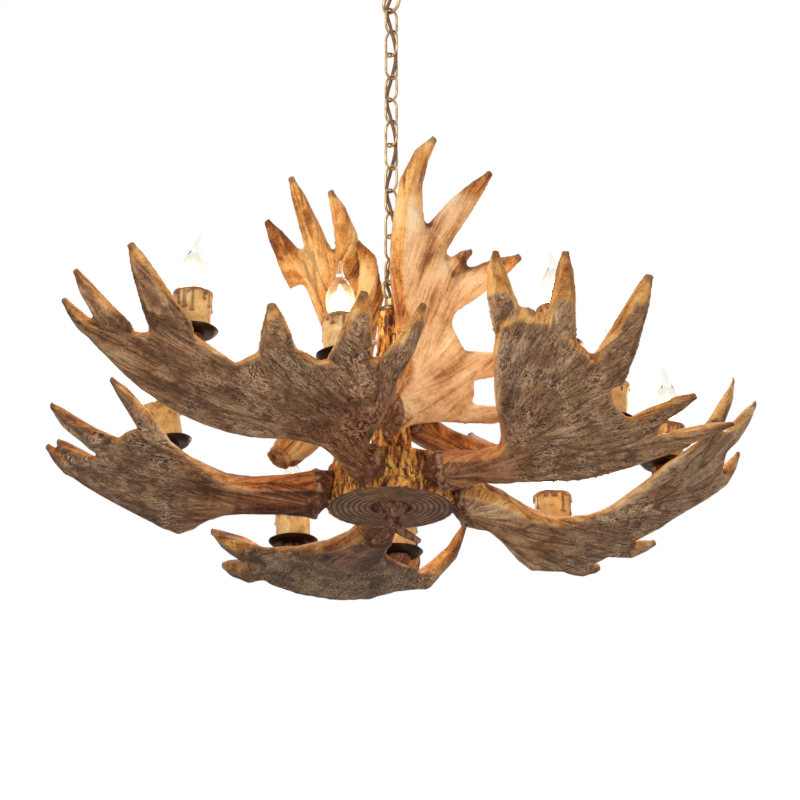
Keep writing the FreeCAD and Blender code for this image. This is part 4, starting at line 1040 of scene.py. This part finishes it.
def glass_mesh(name):
    """Thin flame-shaped envelope with a drawn-out tail that bends over."""
    outer = [(6.4, 41.5), (6.9, 43.5), (8.4, 46.5), (10.9, 50.5), (13.7, 55.5), (15.9, 61.0), (17.2, 67.5),
             (17.4, 73.5), (16.7, 79.5), (15.0, 85.5), (12.6, 91.0), (9.8, 96.2), (7.2, 101.0), (5.2, 105.6),
             (3.9, 110.0), (3.1, 114.5), (2.5, 119.0), (1.8, 123.5), (0.9, 126.2), (0.15, 126.8)]
    inner = [(0.12, 106.5), (2.6, 105.2), (4.8, 103.0)]
    inner += [(r - 0.6, z) for r, z in outer if z < 102.0][::-1]
    mesh = lathe(name, outer + inner, 40, closed=False, sharp=None)
    points = points_of(mesh)
    height = points[:, 2] * 1000
    write_values(mesh, glow=ease(height, 98, 48) ** 1.5)
    points[:, 0] += 8.0 * MM * np.clip((height - 98) / 29, 0, 1) ** 1.7
    return set_points(mesh, points)


def cap_mesh():
    """Threaded metal cap of a lamp."""
    outline = [(0.05, 15.2), (3.2, 15.2), (3.6, 17.2), (5.6, 18.4)]
    outline += [(6.45 + 0.42 * math.cos(math.pi * k), 19.4 + 1.15 * k) for k in range(16)]
    outline += [(6.9, 38.4), (6.9, 41.0), (6.2, 42.4), (0.05, 42.4)]
    return lathe("cap", outline, 40)


def wire_mesh():
    """Glass stem of a lamp with the loop of its filament."""
    stem = lathe("stem", [(0.05, 42), (2.6, 42), (2.2, 50), (1.5, 56), (0.9, 59), (0.05, 59.6)], 20)
    loop = []
    for k in range(31):
        reach = 5.2 * math.sin(TAU * k / 15) * (0.35 + 0.65 * k / 30)
        loop.append(Vector((reach, 2.2 * math.sin(TAU * k / 7.5), 58 + 0.75 * k)) * MM)
    return joined("wire", [stem, tube("loop", loop, 0.55 * MM, 8)])


def core_mesh():
    """The bright heart of a lit lamp."""
    outline = [(0.05, 52), (4.4, 53.5), (7.6, 58), (9.0, 64), (8.6, 71), (6.4, 78), (3.8, 85), (1.6, 90.5),
               (0.05, 94)]
    return lathe("core", outline, 28, sharp=None)


def glow_material(name, shade, strength):
    g = Graph(name)
    value = g.noise(g.position(), 160.0, 2, 0.5)
    tint = g.ramp(value, (0.3, tuple(0.92 * c for c in shade)), (0.7, shade))
    return g.surface(Base_Color=tint, Roughness=0.5, Emission_Color=tint, Emission_Strength=strength)


def candle_frame(number):
    """Where a candle stands: the middle of its pan's upper face, turned to its lamp's axis; and that axis."""
    up = Vector(JOINTS["lamp_%d_out" % number]["axis"]).normalized()
    turn = Vector((0, 0, 1)).rotation_difference(up).to_matrix().to_4x4()
    dish = points_of(NODES["drip_pan_%d" % number].data)
    middle = Vector((dish.min(0) + dish.max(0)) / 2)
    low = (dish @ np.array(up)).min()
    origin = middle + up * (low + PAN_DEPTH * MM - middle.dot(up))
    return Matrix.Translation(origin) @ turn, up


def make_candles(brass):
    wax = wax_material()
    pan = metal_material("pan_metal", (0.085, 0.046, 0.026), (0.018, 0.01, 0.007), 0.42, 90.0)
    holder = metal_material("holder_card", (0.52, 0.4, 0.25), (0.34, 0.24, 0.13), 0.62, 120.0)
    g = Graph("lamp_glass")
    streak = g.grain(60, 14, 3, 0.5)
    glass = g.surface(Base_Color=(0.95, 0.915, 0.86, 1.0), Roughness=g.span(streak, 0.4, 0.8, 0.0, 0.03),
                      Transmission_Weight=1.0, IOR=1.22, Normal=g.bump(streak, 0.25, 0.3),
                      Emission_Color=(1.0, 0.72, 0.36, 1.0),
                      Emission_Strength=g.times(g.attribute("glow"), 1.1))
    core = glow_material("lamp_core", (1.0, 0.84, 0.52), 16.0)
    halo = glow_material("lamp_wire", (1.0, 0.62, 0.26), 5.0)
    socket = rounded([(0.05, -9), (4.8, -9), (4.8, 0), (13, 0), (13, 40), (7.1, 40), (7.1, 14.7),
                      (0.05, 14.7)], 0.6)
    holders = []
    for number in LAMPS:
        here, up = candle_frame(number)
        sleeve, dish, lamp = (name % number for name in ("candle_sleeve_%d", "drip_pan_%d", "lamp_%d"))
        body = lamp + "_body"
        place(sleeve + "_wax", moved(sleeve_mesh(number), here), wax, "fixture", "wax", [sleeve])
        place(dish + "_spun", moved(pan_mesh(dish), here), pan, "fixture", "dark_metal", [dish])
        # the tails of the glasses point in different ways
        spin = here @ Matrix.Rotation(math.radians(40 * number), 4, "Z")
        shell = place(lamp + "_glass", moved(glass_mesh(lamp), spin), glass, body, "lamp_glass", [lamp])
        shell.visible_shadow = False
        place(lamp + "_cap", moved(cap_mesh(), here), brass, body, "lamp_glass")
        place(lamp + "_wire", moved(wire_mesh(), here), halo, body, "lamp_glass")
        bright = place(lamp + "_core", moved(core_mesh(), here), core, body, "lamp_glass")
        bright.visible_diffuse = False
        light = bpy.data.lights.new("candle_light_%d" % number, "POINT")
        light.energy, light.color, light.shadow_soft_size = 0.32, (1.0, 0.7, 0.38), 0.035
        spot = stand("candle_light_%d" % number, light)
        spot.location = here.translation + up * (70 * MM)
        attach(spot, body)
        holders.append(moved(lathe("holder", socket, 40), here))
    turned = joined("lamp_holders_turned", holders)
    place("lamp_holders_turned", turned, holder, "fixture", "holder", ["lamp_holders"])


# ---- room

def aim(thing, target):
    way = Vector(target) - thing.location
    thing.rotation_mode = "QUATERNION"
    thing.rotation_quaternion = way.to_track_quat("-Z", "Y")


def area(name, location, target, size, energy, shade=(1, 1, 1)):
    data = bpy.data.lights.new(name, "AREA")
    data.shape, data.size, data.energy, data.color = "DISK", size, energy, shade
    lamp = stand(name, data)
    lamp.location = location
    aim(lamp, target)


def make_room():
    """Pale floor below, white backdrop with dim ambient light, three lamps and the camera."""
    g = Graph("floor_paint")
    value = g.noise(g.position(), 6.0, 4, 0.6)
    paint = g.ramp(value, (0.3, (0.8, 0.79, 0.77)), (0.7, (0.83, 0.82, 0.8)))
    floor = mesh_of("floor", [(-9, -9, -2.9), (9, -9, -2.9), (9, 9, -2.9), (-9, 9, -2.9)], [(0, 1, 2, 3)])
    floor.materials.append(g.surface(Base_Color=paint, Roughness=0.85))
    ground = stand("floor", floor)

    # the backdrop is white where it is seen, mirrored or looked at through glass, and dim as a light
    ambient = 0.34
    sky = Graph("studio", "World")
    rays = sky.node("ShaderNodeLightPath").outputs
    seen = sky.add(rays["Is Camera Ray"], rays["Is Glossy Ray"])
    seen = sky.add(seen, rays["Is Transmission Ray"], clamp=True)
    backdrop = sky.node("ShaderNodeBackground", Color=(1, 1, 1, 1), Strength=sky.blend(seen, ambient, 1.0))
    sky.put(sky.output.inputs["Surface"], backdrop.outputs[0])
    bpy.context.scene.world = sky.owner

    area("key", (-2.1, -3.2, 0.5), (0, 0, -0.62), 2.2, 86)
    area("low_fill", (1.5, -3.3, -2.1), (0, 0, -0.6), 1.8, 36)
    area("top", (0.6, 1.6, 1.9), (0, 0, -0.6), 1.8, 40)

    camera_data = bpy.data.cameras.new("camera")
    camera_data.lens, camera_data.sensor_width = 187.5, 36
    camera = stand("camera", camera_data)
    camera.location = (0.01069, -4.6679, -2.3825)
    aim(camera, (0.01069, 0, -0.59067))
    bpy.context.scene.camera = camera
    bpy.context.scene.view_settings.view_transform = "Standard"


brass, bronze = make_suspension()
make_flex()
make_hub(brass, bronze)
make_candles(brass)
make_antlers()
make_room()
